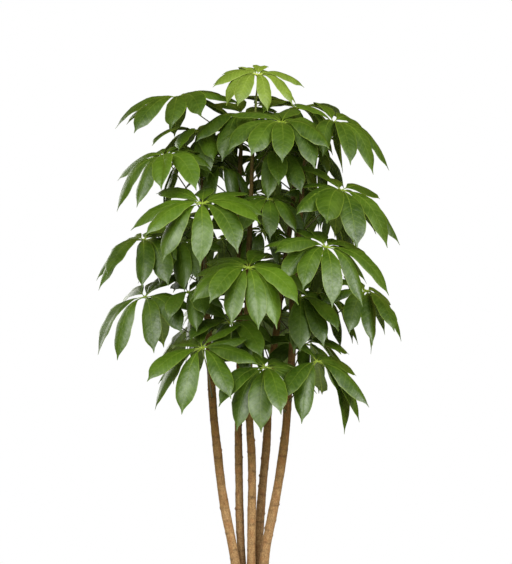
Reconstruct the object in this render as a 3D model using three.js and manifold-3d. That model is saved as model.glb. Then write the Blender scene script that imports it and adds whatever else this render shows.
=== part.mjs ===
// Potted umbrella plant: five woody stems in one pot, with palmate leaves on long stalks.
// Millimetres, +Z up. The origin is the middle of the pot's underside and the plant is seen along +Y.
import * as THREE from 'three';
import { mergeVertices } from 'three/addons/utils/BufferGeometryUtils.js';
import Module from 'manifold-3d';

const wasm = await Module();
wasm.setup();

// Pot and soil
const POT_HEIGHT = 230;
const POT_RIM_RADIUS = 145;
const POT_FOOT_RADIUS = 108;
const POT_WALL = 5;
const POT_FLOOR = 6;
const POT_LIP_HEIGHT = 26;
const POT_LIP_PROUD = 4;
const POT_SIDES = 24;
const SOIL_EDGE = 200;
const SOIL_DOME = 8;
const GAP = 0.3;

// Stems
const STEM_SIDES = 7;
const STEM_NODE_SPACING = 90;
const STEM_ROOT = 60;
const STEM_BULGE = 1.07;
const STEM_TAPER = 1.8;
const STEM_SWAY = 0.9;
const STEM_TIP_RADIUS = 2.3;
const STEM_TIP_LENGTH = 34;

// Leaves
const STALK_RADIUS = 2.1;
const STALK_FOOT_SWELL = 1.25;
const STALK_TIP_SWELL = 0.85;
const STALK_SIDES = 3;
const STALK_STEPS = 4;
const STALK_DROP = 55;
const STALK_SLOPES = [0.42, 0.54, 0.3, 0.66, 0.78];
const STALK_BOWS = [0, 0.06, -0.06, 0.12, -0.12];
const HUB_RADIUS = 8;
const LEAFLET_CHORD = 205;
const LEAFLET_ARCH = 28;
const LEAFLET_STALK_RADIUS = 1.5;
const LEAFLET_KNEE = 0.45;
const LEAFLET_SLOPE_KEPT = 0.55;
const BLADE_RATIO = 0.311;
const BLADE_RIDGE = 1.5;
const RING_STEP = 49;
const RING_GAP = 66;
const RING_MOST = 8;
const FRONT_HALF_DEPTH = 70;
const FRONT_CENTRE_DEPTH = 260;
const LEAST_LEAN = 18;
const MOST_LEAN = 44;
const LEAN_PER_REACH = 0.075;
const HIDDEN_DROOP = 24;
const HIDDEN_LENGTH = 0.9;
const INWARD_LENGTH = 0.72;
const INNER_CHORD = 180;
const INNER_RING_STEP = 72;
const BACK_RING_STEP = 58;

// Clearance between leaves: points on every surface are kept this far apart
const SAMPLE_STEP = 5.5;
const CLEARANCE = 9.5;
const SAME_LEAF_CLEARANCE = 6;
const STEM_CLEARANCE = 5;
const STALK_CLEARANCE = 7;
const STALK_SOCKET = 10;
const STALK_SAMPLE_STEP = 4;
const HUB_ZONE = 50;

// How the photograph was read: pixels of a 512 x 564 frame, seen from the front at eye level
const PIXEL = 3.0;
const FRAME_CENTRE = [256, 282];
const CAMERA_DISTANCE = 4600;
const CAMERA_X = 15;
const CAMERA_HEIGHT = 1108;

const UP = new THREE.Vector3(0, 0, 1);

// Each stem: photograph points from the bottom edge upwards, its depth at the foot and at the top,
// and its radius at the foot and under the tip.
const STEMS = [
  {
    depth: [-15, 15],
    radius: [13.8, 5],
    path: [[235.8, 564], [229.4, 530], [223.2, 497], [218.4, 462], [215, 430], [211.5, 380], [208.2, 332],
      [205.4, 295], [203, 230], [202, 178]],
  },
  {
    depth: [17, 70],
    radius: [12.2, 4.5],
    path: [[241.8, 564], [240.3, 530], [239.6, 497], [238.5, 462], [238.4, 430], [239.6, 390], [239.2, 273],
      [239.7, 186], [243, 112]],
  },
  {
    depth: [-15, 0],
    radius: [12.7, 3.2],
    path: [[251, 564], [252.2, 497], [251.7, 462], [249.9, 430], [250.1, 380], [247.5, 340], [248.2, 281],
      [251.6, 183], [256, 100], [257, 90]],
  },
  {
    depth: [17, 140],
    radius: [13.1, 4.5],
    path: [[257.8, 564], [261.8, 497], [264.8, 462], [267.2, 430], [270.2, 385], [273, 355], [284, 270],
      [293, 200], [296, 150]],
  },
  {
    depth: [-15, -50],
    radius: [14, 4.5],
    path: [[263.4, 564], [269.5, 530], [276.2, 497], [281.3, 462], [285.8, 430], [288, 400], [292.6, 346],
      [292, 310], [296, 262], [303, 180], [305, 150]],
  },
];

// Each leaf that the photograph shows: the hub where its leaflets meet, how far it stands from the
// stems' plane (minus is nearer), and its leaflets' tips, with +1 for those that point away.
const FRONT_LEAVES = [
  { hub: [202.3, 204.7], depth: -300, tips: [[130.7, 228.6], [144.8, 234], [160.8, 254.4], [201, 264],
    [238.6, 251.3], [262.1, 227.8], [249.4, 193.9, 1], [156, 192, 1]] },
  { hub: [248.4, 269.1], depth: -330, tips: [[193.3, 300.4], [209.3, 313.8], [230.3, 323.3], [258.2, 322.4],
    [277.8, 322.5], [298.9, 308.4], [293, 274.7, 1], [205, 262, 1]] },
  { hub: [325.6, 248.8], depth: -270, arch: 34, tips: [[275, 250.9], [282, 270], [300.1, 293], [332.6, 305.6],
    [362.8, 304.2], [389, 293.3], [367, 254.4, 1], [350.8, 245, 1]] },
  { hub: [201.6, 348.8], depth: -250, arch: 18, tips: [[146.8, 379.4], [155, 408.1], [182.5, 412.6],
    [230.3, 397.3], [259.6, 368], [171.6, 347.5, 1]] },
  { hub: [265.3, 368.7], depth: -235, tips: [[260.3, 430.5], [218.8, 405], [236, 421], [281, 412.9],
    [296, 372, 1]] },
  { hub: [316.5, 362.4], depth: -190, arch: 20, tips: [[281.4, 400.3], [303.1, 417.8], [344.5, 431.9],
    [354.7, 422.9], [369.1, 405.4], [356.5, 374.6, 1], [322, 392.6, 1], [330, 352, 1]] },
  { hub: [281.4, 123.8], depth: -170, tips: [[227.7, 149.2], [251.6, 154.5], [281.8, 166.8], [315.6, 166.8],
    [329.9, 153.6], [335, 138.5, 1], [295, 109, 1], [262, 112, 1]] },
  { hub: [341.1, 191.7], depth: -150, chord: 230, tips: [[399.7, 242.7, 1], [387.7, 245.9], [356.8, 245.9],
    [297.2, 212.9], [322.5, 228], [335, 236, 1], [379.6, 197.1, 1]] },
  { hub: [164.8, 157.5], depth: -130, arch: 36, tips: [[117.7, 178.7, 1], [117.1, 209.8], [137.2, 205.6],
    [164.8, 193.9], [196.8, 188.5], [190, 150, 1]] },
  { hub: [144.8, 299.1], depth: -95, arch: 38, tips: [[98.3, 353.2], [117.4, 358.4], [153.8, 351.4],
    [179.3, 327.1], [164, 345.6, 1], [123.5, 300.7, 1], [168.6, 283, 1]] },
  { hub: [143.6, 241.7], depth: -40, arch: 38, tips: [[98.3, 288.5], [96.5, 278.5, 1], [110.3, 281.5],
    [142.9, 286], [168, 284], [160, 236, 1]] },
  { hub: [366.3, 291.6], depth: -60, arch: 22, tips: [[395, 330], [372.6, 343.5], [348.6, 331.4],
    [390, 305, 1]] },
  { hub: [180, 98], depth: -30, tips: [[115.5, 126.6], [127, 122.5, 1], [134.2, 131.2], [171.4, 127],
    [174.5, 135, 1], [202, 114.5], [224.5, 99.5, 1], [236, 105, 1]] },
  { hub: [333.5, 124.5], depth: -60, arch: 42, tips: [[389, 168.5], [373.6, 172.6], [351, 163.5], [362, 130, 1],
    [342.5, 170.5, 1], [322, 154]] },
  { hub: [257.5, 76.6], depth: -5, chord: 150, arch: 42, young: true, tips: [[212.5, 85.2], [225.9, 99.4],
    [238.3, 108.5], [267.3, 109.7], [292.7, 103.2], [304.3, 85.8, 1], [262.4, 69, 1], [297, 104.5, 1]] },
  { hub: [242, 115.5], depth: 30, tips: [[196.3, 140.6], [222, 154], [268, 140], [276, 112, 1]] },
  { hub: [269, 200.4], depth: -90, chord: 170, tips: [[270.6, 238], [296.6, 230.8], [242, 226]] },
  { hub: [230.3, 323.3], depth: -90, tips: [[188.9, 339.1], [208, 362], [262, 356], [246, 372]] },
  { hub: [188.2, 292.7], depth: -125, chord: 165, tips: [[168.9, 318.5], [187.3, 332.5], [208, 318]] },
  { hub: [300.3, 298.6], depth: -60, tips: [[338, 329.5], [323.6, 344.7], [300, 350], [272, 338]] },
  { hub: [305, 345], depth: 40, tips: [[348.7, 352.5, 1], [336, 376], [290, 384]] },
  { hub: [195, 133], depth: 60, tips: [[153.8, 151], [172.9, 151], [183.6, 149, 1], [196, 172],
    [226, 156]] },
  { hub: [297, 109], depth: 120, tips: [[341.4, 118.3, 1], [334, 136], [300, 140], [262, 118]] },
  { hub: [275, 152], depth: -20, tips: [[250, 188], [276, 196], [302, 186]] },
  { hub: [177, 243], depth: 15, tips: [[160, 284], [184, 290], [205, 280], [150, 258]] },
];

// The leaves that fill the middle of the crown, of which the photograph shows dark scraps between
// the leaves in front.
const INNER_LEAVES = [
  { hub: [213, 146], depth: 150 },
  { hub: [262, 160], depth: 190 },
  { hub: [316, 146], depth: 80 },
  { hub: [318, 196], depth: 60 },
  { hub: [222, 168], depth: 20 },
  { hub: [262, 232], depth: 40 },
  { hub: [214, 300], depth: 60 },
  { hub: [262, 318], depth: 110 },
  { hub: [222, 240], depth: 120 },
  { hub: [330, 262], depth: 110 },
];

// The leaves that only show from the sides and the back: level, turn about the plant and reach.
const BACK_LEAVES = [
  { level: 1585, turn: 100, reach: 150 },
  { level: 1530, turn: 45, reach: 225 },
  { level: 1490, turn: 140, reach: 250 },
  { level: 1390, turn: 88, reach: 280 },
  { level: 1330, turn: 32, reach: 270 },
  { level: 1290, turn: 148, reach: 275 },
  { level: 1205, turn: 110, reach: 310 },
  { level: 1170, turn: 60, reach: 310 },
  { level: 1060, turn: 20, reach: 240 },
  { level: 1010, turn: 86, reach: 320 },
  { level: 955, turn: 128, reach: 270 },
  { level: 925, turn: 48, reach: 260 },
];

// A small repeatable source of chance, from 0 to 1.
let seed = 20231;
function chance() {
  seed = (Math.imul(seed, 1664525) + 1013904223) >>> 0;
  return seed / 4294967296;
}

function spread(amount) {
  return (chance() * 2 - 1) * amount;
}

// The point of the real plant that a pixel shows, for a known depth along the view.
function photoPoint([u, v], depth) {
  const scale = PIXEL * (1 + depth / CAMERA_DISTANCE);
  const x = CAMERA_X + (u - FRAME_CENTRE[0]) * scale;
  const z = CAMERA_HEIGHT + (FRAME_CENTRE[1] - v) * scale;
  return new THREE.Vector3(x, depth, z);
}

// A tip whose pixel and whose distance from the hub are known: it leans to the viewer or away.
function tipFromPhoto(hub, [u, v, away = -1], chord) {
  let depth = hub.y;
  for (let pass = 0; pass < 5; pass += 1) {
    const seen = photoPoint([u, v], depth);
    const across = Math.hypot(seen.x - hub.x, seen.z - hub.z);
    depth = hub.y + away * Math.sqrt(Math.max(chord * chord - across * across, 0));
  }
  return photoPoint([u, v], depth);
}

// A capped tube or spike of rings. place(along, angle, outside) gives the point of each corner,
// with outside 0 in the middle of a cap or at the point of a spike.
function loft(sides, steps, place, pointed = false) {
  const topRadius = pointed ? 0 : 1;
  const plain = new THREE.CylinderGeometry(topRadius, 1, 1, sides, steps);
  plain.deleteAttribute('normal');
  plain.deleteAttribute('uv');
  const shape = mergeVertices(plain);
  const corners = shape.attributes.position;
  for (let i = 0; i < corners.count; i += 1) {
    const x = corners.getX(i);
    const z = corners.getZ(i);
    const outside = Math.hypot(x, z) > 1e-4 ? 1 : 0;
    const point = place(corners.getY(i) + 0.5, Math.atan2(x, z), outside);
    corners.setXYZ(i, point.x, point.y, point.z);
  }
  return shape;
}

function toSolid(geometry) {
  const bare = geometry.clone();
  bare.deleteAttribute('normal');
  bare.deleteAttribute('uv');
  const merged = mergeVertices(bare, 1e-3);
  return new wasm.Manifold(new wasm.Mesh({
    numProp: 3,
    vertProperties: new Float32Array(merged.attributes.position.array),
    triVerts: new Uint32Array(merged.index.array),
  }));
}

function toGeometry(solid) {
  const mesh = solid.getMesh();
  const geometry = new THREE.BufferGeometry();
  geometry.setAttribute('position', new THREE.BufferAttribute(new Float32Array(mesh.vertProperties), 3));
  geometry.setIndex(new THREE.BufferAttribute(new Uint32Array(mesh.triVerts), 1));
  geometry.computeVertexNormals();
  return geometry;
}

function named(name, geometry, material) {
  const mesh = new THREE.Mesh(geometry, material);
  mesh.name = name;
  return mesh;
}

// Directions beside a line: side is level where it can be, and normal is on the upper side.
function crossFrame(tangent, facing) {
  const side = new THREE.Vector3().crossVectors(tangent, facing).normalize();
  const normal = new THREE.Vector3().crossVectors(side, tangent).normalize();
  return { side, normal };
}

// --- Pot -------------------------------------------------------------------------------------

function potInnerRadius(height) {
  const top = POT_RIM_RADIUS - POT_LIP_PROUD;
  return THREE.MathUtils.mapLinear(height, 0, POT_HEIGHT, POT_FOOT_RADIUS, top) - POT_WALL;
}

function potGeometry() {
  const lipFoot = POT_HEIGHT - POT_LIP_HEIGHT;
  const profile = [
    [0, 0],
    [POT_FOOT_RADIUS, 0],
    [potInnerRadius(lipFoot) + POT_WALL, lipFoot],
    [POT_RIM_RADIUS - 1, lipFoot],
    [POT_RIM_RADIUS, POT_HEIGHT],
    [potInnerRadius(POT_HEIGHT), POT_HEIGHT],
    [potInnerRadius(POT_FLOOR), POT_FLOOR],
    [0, POT_FLOOR],
  ];
  const shape = new THREE.LatheGeometry(profile.map(([r, z]) => new THREE.Vector2(r, z)), POT_SIDES);
  shape.rotateX(Math.PI / 2);
  return shape;
}

// --- Stems -----------------------------------------------------------------------------------

// The line of a stem: through its photograph points, then straight down into the soil.
function stemCurve({ depth, path }) {
  const levels = path.map(([, v]) => v);
  const lowest = Math.max(...levels);
  const highest = Math.min(...levels);
  const points = path.map((pixel) => {
    const rise = (lowest - pixel[1]) / (lowest - highest);
    return photoPoint(pixel, THREE.MathUtils.lerp(depth[0], depth[1], rise));
  });
  const foot = points[0].clone();
  foot.z = SOIL_EDGE;
  foot.x += (foot.x - points[1].x) * 0.12;
  const root = foot.clone();
  root.z = SOIL_EDGE - STEM_ROOT;
  return new THREE.CatmullRomCurve3([root, foot, ...points]);
}

function makeStem(plan) {
  const curve = stemCurve(plan);
  const length = curve.getLength();
  const rings = Math.round(length / STEM_NODE_SPACING);
  const line = curve.getSpacedPoints(300);
  const radiusAt = (along) => {
    const wood = THREE.MathUtils.lerp(plan.radius[0], plan.radius[1], along ** STEM_TAPER);
    const fromTip = (1 - along) * length;
    const tip = THREE.MathUtils.smoothstep(fromTip, 0, STEM_TIP_LENGTH);
    return THREE.MathUtils.lerp(STEM_TIP_RADIUS, wood, tip);
  };
  return { curve, length, rings, line, radiusAt, foot: line[0].z, top: line[line.length - 1].z };
}

// The stem's middle and radius at a height.
function stemAt(stem, height) {
  const last = stem.line.length - 1;
  let index = 0;
  while (index < last - 1 && stem.line[index + 1].z < height) {
    index += 1;
  }
  const low = stem.line[index];
  const high = stem.line[index + 1];
  const part = THREE.MathUtils.clamp((height - low.z) / (high.z - low.z), 0, 1);
  const centre = low.clone().lerp(high, part);
  return { centre, radius: stem.radiusAt((index + part) / last) };
}

// Old leaf scars swell the stem at its nodes, on one side and then on the other. grown makes it wider.
function stemGeometry(stem, grown = 0) {
  return loft(STEM_SIDES, stem.rings, (along, angle, outside) => {
    const centre = stem.curve.getPointAt(along);
    const tangent = stem.curve.getTangentAt(along);
    const { side, normal } = crossFrame(tangent, new THREE.Vector3(0, -1, 0));
    const node = Math.round(along * stem.rings);
    const odd = node % 2 === 1;
    const swell = odd ? STEM_BULGE : 1;
    const radius = (stem.radiusAt(along) * swell + grown) * outside;
    const sway = along > 0.02 && along < 0.98 ? STEM_SWAY * (node % 4 === 1 ? 1 : -1) * (odd ? 1 : 0.3) : 0;
    centre.addScaledVector(side, Math.sin(angle) * radius + sway);
    centre.addScaledVector(normal, Math.cos(angle) * radius);
    if (grown > 0 && along < 0.001) {
      centre.addScaledVector(tangent, -grown);
    }
    return centre;
  });
}

// --- Soil ------------------------------------------------------------------------------------

function soilGeometry(stems) {
  const floor = POT_FLOOR + GAP;
  const profile = [
    [0, floor],
    [potInnerRadius(floor) - GAP, floor],
    [potInnerRadius(SOIL_EDGE) - GAP * 2, SOIL_EDGE],
    [potInnerRadius(SOIL_EDGE) * 0.6, SOIL_EDGE + SOIL_DOME * 0.5],
    [potInnerRadius(SOIL_EDGE) * 0.3, SOIL_EDGE + SOIL_DOME],
    [0, SOIL_EDGE + SOIL_DOME],
  ];
  const heap = new THREE.LatheGeometry(profile.map(([r, z]) => new THREE.Vector2(r, z)), POT_SIDES);
  heap.rotateX(Math.PI / 2);
  let solid = toSolid(heap);
  for (const stem of stems) {
    solid = solid.subtract(toSolid(stemGeometry(stem, GAP)));
  }
  return toGeometry(solid);
}

// --- Keeping clear ---------------------------------------------------------------------------

// Points already taken, in cells as wide as the clearance.
const taken = new Map();

function cellKey(ix, iy, iz) {
  return ((ix + 512) * 1024 + iy + 512) * 1024 + iz + 512;
}

function takePoints(points, leaf) {
  for (const point of points) {
    const key = cellKey(
      Math.floor(point.x / CLEARANCE), Math.floor(point.y / CLEARANCE), Math.floor(point.z / CLEARANCE));
    if (!taken.has(key)) {
      taken.set(key, []);
    }
    taken.get(key).push({ point, leaf });
  }
}

function touchesTaken(point, leaf, inZone) {
  const ix = Math.floor(point.x / CLEARANCE);
  const iy = Math.floor(point.y / CLEARANCE);
  const iz = Math.floor(point.z / CLEARANCE);
  for (let dx = -1; dx <= 1; dx += 1) {
    for (let dy = -1; dy <= 1; dy += 1) {
      for (let dz = -1; dz <= 1; dz += 1) {
        for (const other of taken.get(cellKey(ix + dx, iy + dy, iz + dz)) ?? []) {
          const same = other.leaf === leaf;
          const reach = same ? SAME_LEAF_CLEARANCE : CLEARANCE;
          const near = point.distanceToSquared(other.point) < reach * reach;
          if (near && !(same && (inZone || other.point.distanceTo(leaf.hub) < HUB_ZONE))) {
            return true;
          }
        }
      }
    }
  }
  return false;
}

function touchesStem(point, stems, margin, except) {
  return stems.some((stem) => {
    if (stem === except || point.z > stem.top + margin) {
      return false;
    }
    const { centre, radius } = stemAt(stem, point.z);
    return Math.hypot(point.x - centre.x, point.y - centre.y) < radius + margin;
  });
}

// --- Leaf stalks -----------------------------------------------------------------------------

// The way that a leaf faces: up, and outwards. The leaves in front all turn to the viewer's side.
function leafFacing(hub) {
  const centreDepth = hub.y < FRONT_HALF_DEPTH ? FRONT_CENTRE_DEPTH : 0;
  const outward = new THREE.Vector3(hub.x, hub.y - centreDepth, 0);
  const lean = THREE.MathUtils.degToRad(Math.min(LEAST_LEAN + outward.length() * LEAN_PER_REACH, MOST_LEAN));
  outward.normalize();
  return UP.clone().multiplyScalar(Math.cos(lean)).addScaledVector(outward, Math.sin(lean));
}

function stalkCurve(leaf, stem, drop, bow) {
  const level = Math.min(leaf.hub.z - drop, stem.top - 22);
  const start = stemAt(stem, level).centre;
  const run = leaf.hub.clone().sub(start);
  const span = run.length();
  const outward = new THREE.Vector3(run.x, run.y, 0);
  const sideways = new THREE.Vector3().crossVectors(run, UP).normalize().multiplyScalar(bow * span);
  const first = start.clone().addScaledVector(outward, 0.3).addScaledVector(UP, 0.26 * run.z);
  const second = leaf.hub.clone().addScaledVector(leaf.facing, -0.3 * span).addScaledVector(outward, -0.12);
  return new THREE.CubicBezierCurve3(start, first.add(sideways), second.add(sideways), leaf.hub);
}

function stalkPoints(curve) {
  return curve.getSpacedPoints(Math.ceil(curve.getLength() / STALK_SAMPLE_STEP));
}

function stalkIsClear(curve, leaf, stem, stems) {
  return stalkPoints(curve).every((point) => {
    const { centre, radius } = stemAt(stem, point.z);
    const inOwnStem = Math.hypot(point.x - centre.x, point.y - centre.y) < radius + STALK_SOCKET;
    return (inOwnStem || !touchesTaken(point, leaf, false))
      && !touchesStem(point, stems, STALK_CLEARANCE, stem);
  });
}

// The stalk comes from the nearest stem that leaves it a clear way.
function chooseStalk(leaf, stems) {
  const byDistance = stems
    .map((stem) => {
      const at = stemAt(stem, Math.min(leaf.hub.z - STALK_DROP, stem.top)).centre;
      const over = Math.max(leaf.hub.z - stem.top, 0);
      return { stem, away: Math.hypot(at.x - leaf.hub.x, at.y - leaf.hub.y) + over };
    })
    .sort((a, b) => a.away - b.away);
  for (const { stem, away } of byDistance) {
    for (const slope of STALK_SLOPES) {
      for (const bow of STALK_BOWS) {
        const curve = stalkCurve(leaf, stem, STALK_DROP + slope * away, bow);
        if (stalkIsClear(curve, leaf, stem, stems)) {
          return { stem, curve };
        }
      }
    }
  }
  return null;
}

function stalkGeometry(curve) {
  return loft(STALK_SIDES, STALK_STEPS, (along, angle, outside) => {
    const centre = curve.getPointAt(along);
    const { side, normal } = crossFrame(curve.getTangentAt(along), new THREE.Vector3(0.31, 0.95, 0.05));
    const swell = THREE.MathUtils.lerp(STALK_FOOT_SWELL, STALK_TIP_SWELL, along);
    const radius = STALK_RADIUS * swell * outside;
    centre.addScaledVector(side, Math.sin(angle) * radius);
    return centre.addScaledVector(normal, Math.cos(angle) * radius);
  });
}

// --- Leaflets --------------------------------------------------------------------------------

// Where the leaflet's rings lie along it, and how wide it is there: the thin stalk, the blade
// that is widest past its middle, and then the drawn-out tip.
const STATIONS = [0, 0.16, 0.38, 0.62, 0.84, 1];
const WIDTHS = [0, 0, 0.72, 1, 0.62, 0];

// The rings of one leaflet that arches from the hub and hangs at its tip. All lie the same way
// across, so that the thin blade never twists through itself.
function leafletRings(leaf, tip, width, roll) {
  const run = tip.clone().sub(leaf.hub);
  const chord = run.length();
  const level = new THREE.Vector3(run.x, run.y, 0);
  const slope = Math.atan2(run.z, level.length());
  level.normalize();
  const start = slope * LEAFLET_SLOPE_KEPT + THREE.MathUtils.degToRad(leaf.arch);
  const knee = leaf.hub.clone()
    .addScaledVector(level, Math.cos(start) * chord * LEAFLET_KNEE)
    .addScaledVector(UP, Math.sin(start) * chord * LEAFLET_KNEE);
  const curve = new THREE.QuadraticBezierCurve3(leaf.hub, knee, tip);
  run.normalize();
  const { side } = crossFrame(run, leaf.facing);
  side.applyAxisAngle(run, roll);
  return STATIONS.map((along, index) => {
    const normal = new THREE.Vector3().crossVectors(side, curve.getTangentAt(along)).normalize();
    const half = width * WIDTHS[index] * 0.5;
    const centre = curve.getPointAt(along);
    const isBlade = half > 0;
    return {
      ridge: centre.clone().addScaledVector(normal, isBlade ? BLADE_RIDGE : LEAFLET_STALK_RADIUS),
      right: centre.clone().addScaledVector(side, isBlade ? half : LEAFLET_STALK_RADIUS)
        .addScaledVector(normal, isBlade ? 0 : -LEAFLET_STALK_RADIUS * 0.6),
      left: centre.clone().addScaledVector(side, isBlade ? -half : -LEAFLET_STALK_RADIUS)
        .addScaledVector(normal, isBlade ? 0 : -LEAFLET_STALK_RADIUS * 0.6),
      centre,
    };
  });
}

function leafletGeometry(rings) {
  const last = rings.length - 1;
  return loft(3, last, (along, angle, outside) => {
    const ring = rings[Math.round(along * last)];
    if (outside === 0) {
      return ring.centre;
    }
    if (Math.abs(angle) < 0.5) {
      return ring.ridge;
    }
    return angle > 0 ? ring.right : ring.left;
  }, true);
}

// Points all over a leaflet, close enough together that nothing slips between them.
function leafletPoints(rings) {
  const points = [];
  for (let i = 0; i < rings.length - 1; i += 1) {
    const low = rings[i];
    const high = i + 2 === rings.length
      ? { left: rings[i + 1].centre, ridge: rings[i + 1].centre, right: rings[i + 1].centre }
      : rings[i + 1];
    const rows = Math.ceil(low.centre.distanceTo(rings[i + 1].centre) / SAMPLE_STEP);
    for (let row = 0; row < rows; row += 1) {
      const left = low.left.clone().lerp(high.left, row / rows);
      const ridge = low.ridge.clone().lerp(high.ridge, row / rows);
      const right = low.right.clone().lerp(high.right, row / rows);
      const columns = Math.ceil(left.distanceTo(ridge) / SAMPLE_STEP);
      for (let column = 0; column <= columns; column += 1) {
        points.push(left.clone().lerp(ridge, column / columns));
        points.push(right.clone().lerp(ridge, column / columns));
      }
    }
  }
  points.push(rings[rings.length - 1].centre);
  return points;
}

function leafletIsClear(points, leaf, stems) {
  return points.every((point) => {
    const inZone = point.distanceTo(leaf.hub) < HUB_ZONE;
    return !touchesTaken(point, leaf, inZone) && !touchesStem(point, stems, STEM_CLEARANCE, null);
  });
}

// The ways that a leaflet may be bent clear, from the smallest change to the largest.
const BENDS = [];
for (const turn of [0, 5, -5, 10, -10, 16, -16, 22, -22]) {
  for (const lift of [0, 6, -6, 12, -12, 20, -20, 28]) {
    for (const shrink of [1, 0.92, 0.84, 0.74]) {
      const cost = Math.abs(turn) / 5 + Math.abs(lift) / 6 + (1 - shrink) * 14;
      BENDS.push({ turn, lift, shrink, cost });
    }
  }
}
BENDS.sort((a, b) => a.cost - b.cost);

function bentTip(leaf, tip, bend) {
  const run = tip.clone().sub(leaf.hub);
  run.applyAxisAngle(leaf.facing, THREE.MathUtils.degToRad(bend.turn));
  const side = new THREE.Vector3().crossVectors(run, leaf.facing).normalize();
  run.applyAxisAngle(side, THREE.MathUtils.degToRad(bend.lift));
  return leaf.hub.clone().addScaledVector(run, bend.shrink);
}

function placeLeaflet(leaf, tip, stems) {
  const roll = THREE.MathUtils.degToRad(spread(9));
  const widen = 1 + spread(0.08);
  for (const bend of BENDS) {
    const end = bentTip(leaf, tip, bend);
    const width = Math.min(end.distanceTo(leaf.hub), leaf.chord) * BLADE_RATIO * widen;
    const rings = leafletRings(leaf, end, width, roll);
    const points = leafletPoints(rings);
    if (leafletIsClear(points, leaf, stems)) {
      takePoints(points, leaf);
      leaf.leaflets.push(rings);
      return true;
    }
  }
  return false;
}

// The turn of a tip about the way that the leaf faces, in degrees.
function ringTurn(leaf, tip) {
  const run = tip.clone().sub(leaf.hub);
  return THREE.MathUtils.radToDeg(Math.atan2(run.dot(leaf.across), run.dot(leaf.outward)));
}

// The leaflets that the photograph hides: they close the widest gaps of the ring.
function hiddenTips(leaf, tips) {
  const isBare = tips.length === 0;
  const turns = isBare ? [spread(20)] : tips.map((tip) => ringTurn(leaf, tip)).sort((a, b) => a - b);
  const hidden = [];
  turns.forEach((turn, index) => {
    const next = index + 1 < turns.length ? turns[index + 1] : turns[0] + 360;
    const gap = next - turn;
    const extra = gap > RING_GAP ? Math.round(gap / leaf.ringStep) - 1 : 0;
    for (let i = 1; i <= extra; i += 1) {
      hidden.push(turn + (gap * i) / (extra + 1));
    }
  });
  if (isBare) {
    hidden.push(turns[0]);
  }
  return hidden.slice(0, Math.max(RING_MOST - tips.length, 0)).map((turn) => {
    const radians = THREE.MathUtils.degToRad(turn + spread(4));
    const inward = Math.cos(radians) < -0.5;
    const droop = THREE.MathUtils.degToRad(HIDDEN_DROOP + spread(8));
    const run = leaf.outward.clone().multiplyScalar(Math.cos(radians))
      .addScaledVector(leaf.across, Math.sin(radians))
      .multiplyScalar(Math.cos(droop))
      .addScaledVector(leaf.facing, -Math.sin(droop));
    run.z -= 0.1;
    const length = leaf.chord * (inward ? INWARD_LENGTH : HIDDEN_LENGTH) * (1 + spread(0.06));
    return leaf.hub.clone().addScaledVector(run.normalize(), length);
  });
}

function planLeaf({
  hub, chord = LEAFLET_CHORD, arch = LEAFLET_ARCH, ringStep = RING_STEP, young = false, tips = [],
}) {
  const facing = leafFacing(hub);
  const across = new THREE.Vector3().crossVectors(facing, new THREE.Vector3(hub.x, hub.y - 1, 0)).normalize();
  const outward = new THREE.Vector3().crossVectors(across, facing).normalize();
  return { hub, chord, arch, ringStep, young, pixels: tips, facing, across, outward, leaflets: [] };
}

function leafGeometry(leaf) {
  const hub = new THREE.OctahedronGeometry(HUB_RADIUS, 0).translate(leaf.hub.x, leaf.hub.y, leaf.hub.z);
  let solid = toSolid(hub).add(toSolid(stalkGeometry(leaf.curve)));
  for (const rings of leaf.leaflets) {
    solid = solid.add(toSolid(leafletGeometry(rings)));
  }
  solid = solid.subtract(toSolid(stemGeometry(leaf.stem, GAP)));
  return toGeometry(solid);
}

// --- Colours ---------------------------------------------------------------------------------

const potMaterial = () => new THREE.MeshStandardMaterial({ color: 0x2f3133, roughness: 0.55, metalness: 0 });
const soilMaterial = () => new THREE.MeshStandardMaterial({ color: 0x2c2018, roughness: 0.95, metalness: 0 });
const barkMaterial = () => new THREE.MeshStandardMaterial({ color: 0x97764b, roughness: 0.85, metalness: 0 });
const leafMaterial = () => new THREE.MeshStandardMaterial({ color: 0x4c7328, roughness: 0.4, metalness: 0 });
const youngMaterial = () => new THREE.MeshStandardMaterial({ color: 0xa2b75a, roughness: 0.4, metalness: 0 });

// --- The plant -------------------------------------------------------------------------------

const stems = STEMS.map(makeStem);

const leaves = [
  ...FRONT_LEAVES.map((seen) => planLeaf({ ...seen, hub: photoPoint(seen.hub, seen.depth) })),
  ...BACK_LEAVES.map(({ level, turn, reach }) => {
    const radians = THREE.MathUtils.degToRad(turn);
    const hub = new THREE.Vector3(Math.cos(radians) * reach, Math.sin(radians) * reach + 30, level);
    return planLeaf({ hub, ringStep: BACK_RING_STEP });
  }),
  ...INNER_LEAVES.map((seen) => planLeaf({
    hub: photoPoint(seen.hub, seen.depth), chord: INNER_CHORD, ringStep: INNER_RING_STEP,
  })),
];

for (const leaf of leaves) {
  const chosen = chooseStalk(leaf, stems);
  if (chosen === null) {
    throw new Error(`no clear way for the stalk of the leaf at height ${Math.round(leaf.hub.z)}`);
  }
  leaf.stem = chosen.stem;
  leaf.curve = chosen.curve;
  takePoints(stalkPoints(leaf.curve), leaf);
}

// The leaflets that the photograph shows have their places before any hidden one.
for (const leaf of leaves) {
  for (const pixel of leaf.pixels) {
    placeLeaflet(leaf, tipFromPhoto(leaf.hub, pixel, leaf.chord), stems);
  }
}
for (const leaf of leaves) {
  const placed = leaf.leaflets.map((rings) => rings[rings.length - 1].centre);
  for (const tip of hiddenTips(leaf, placed)) {
    placeLeaflet(leaf, tip, stems);
  }
}

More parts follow.
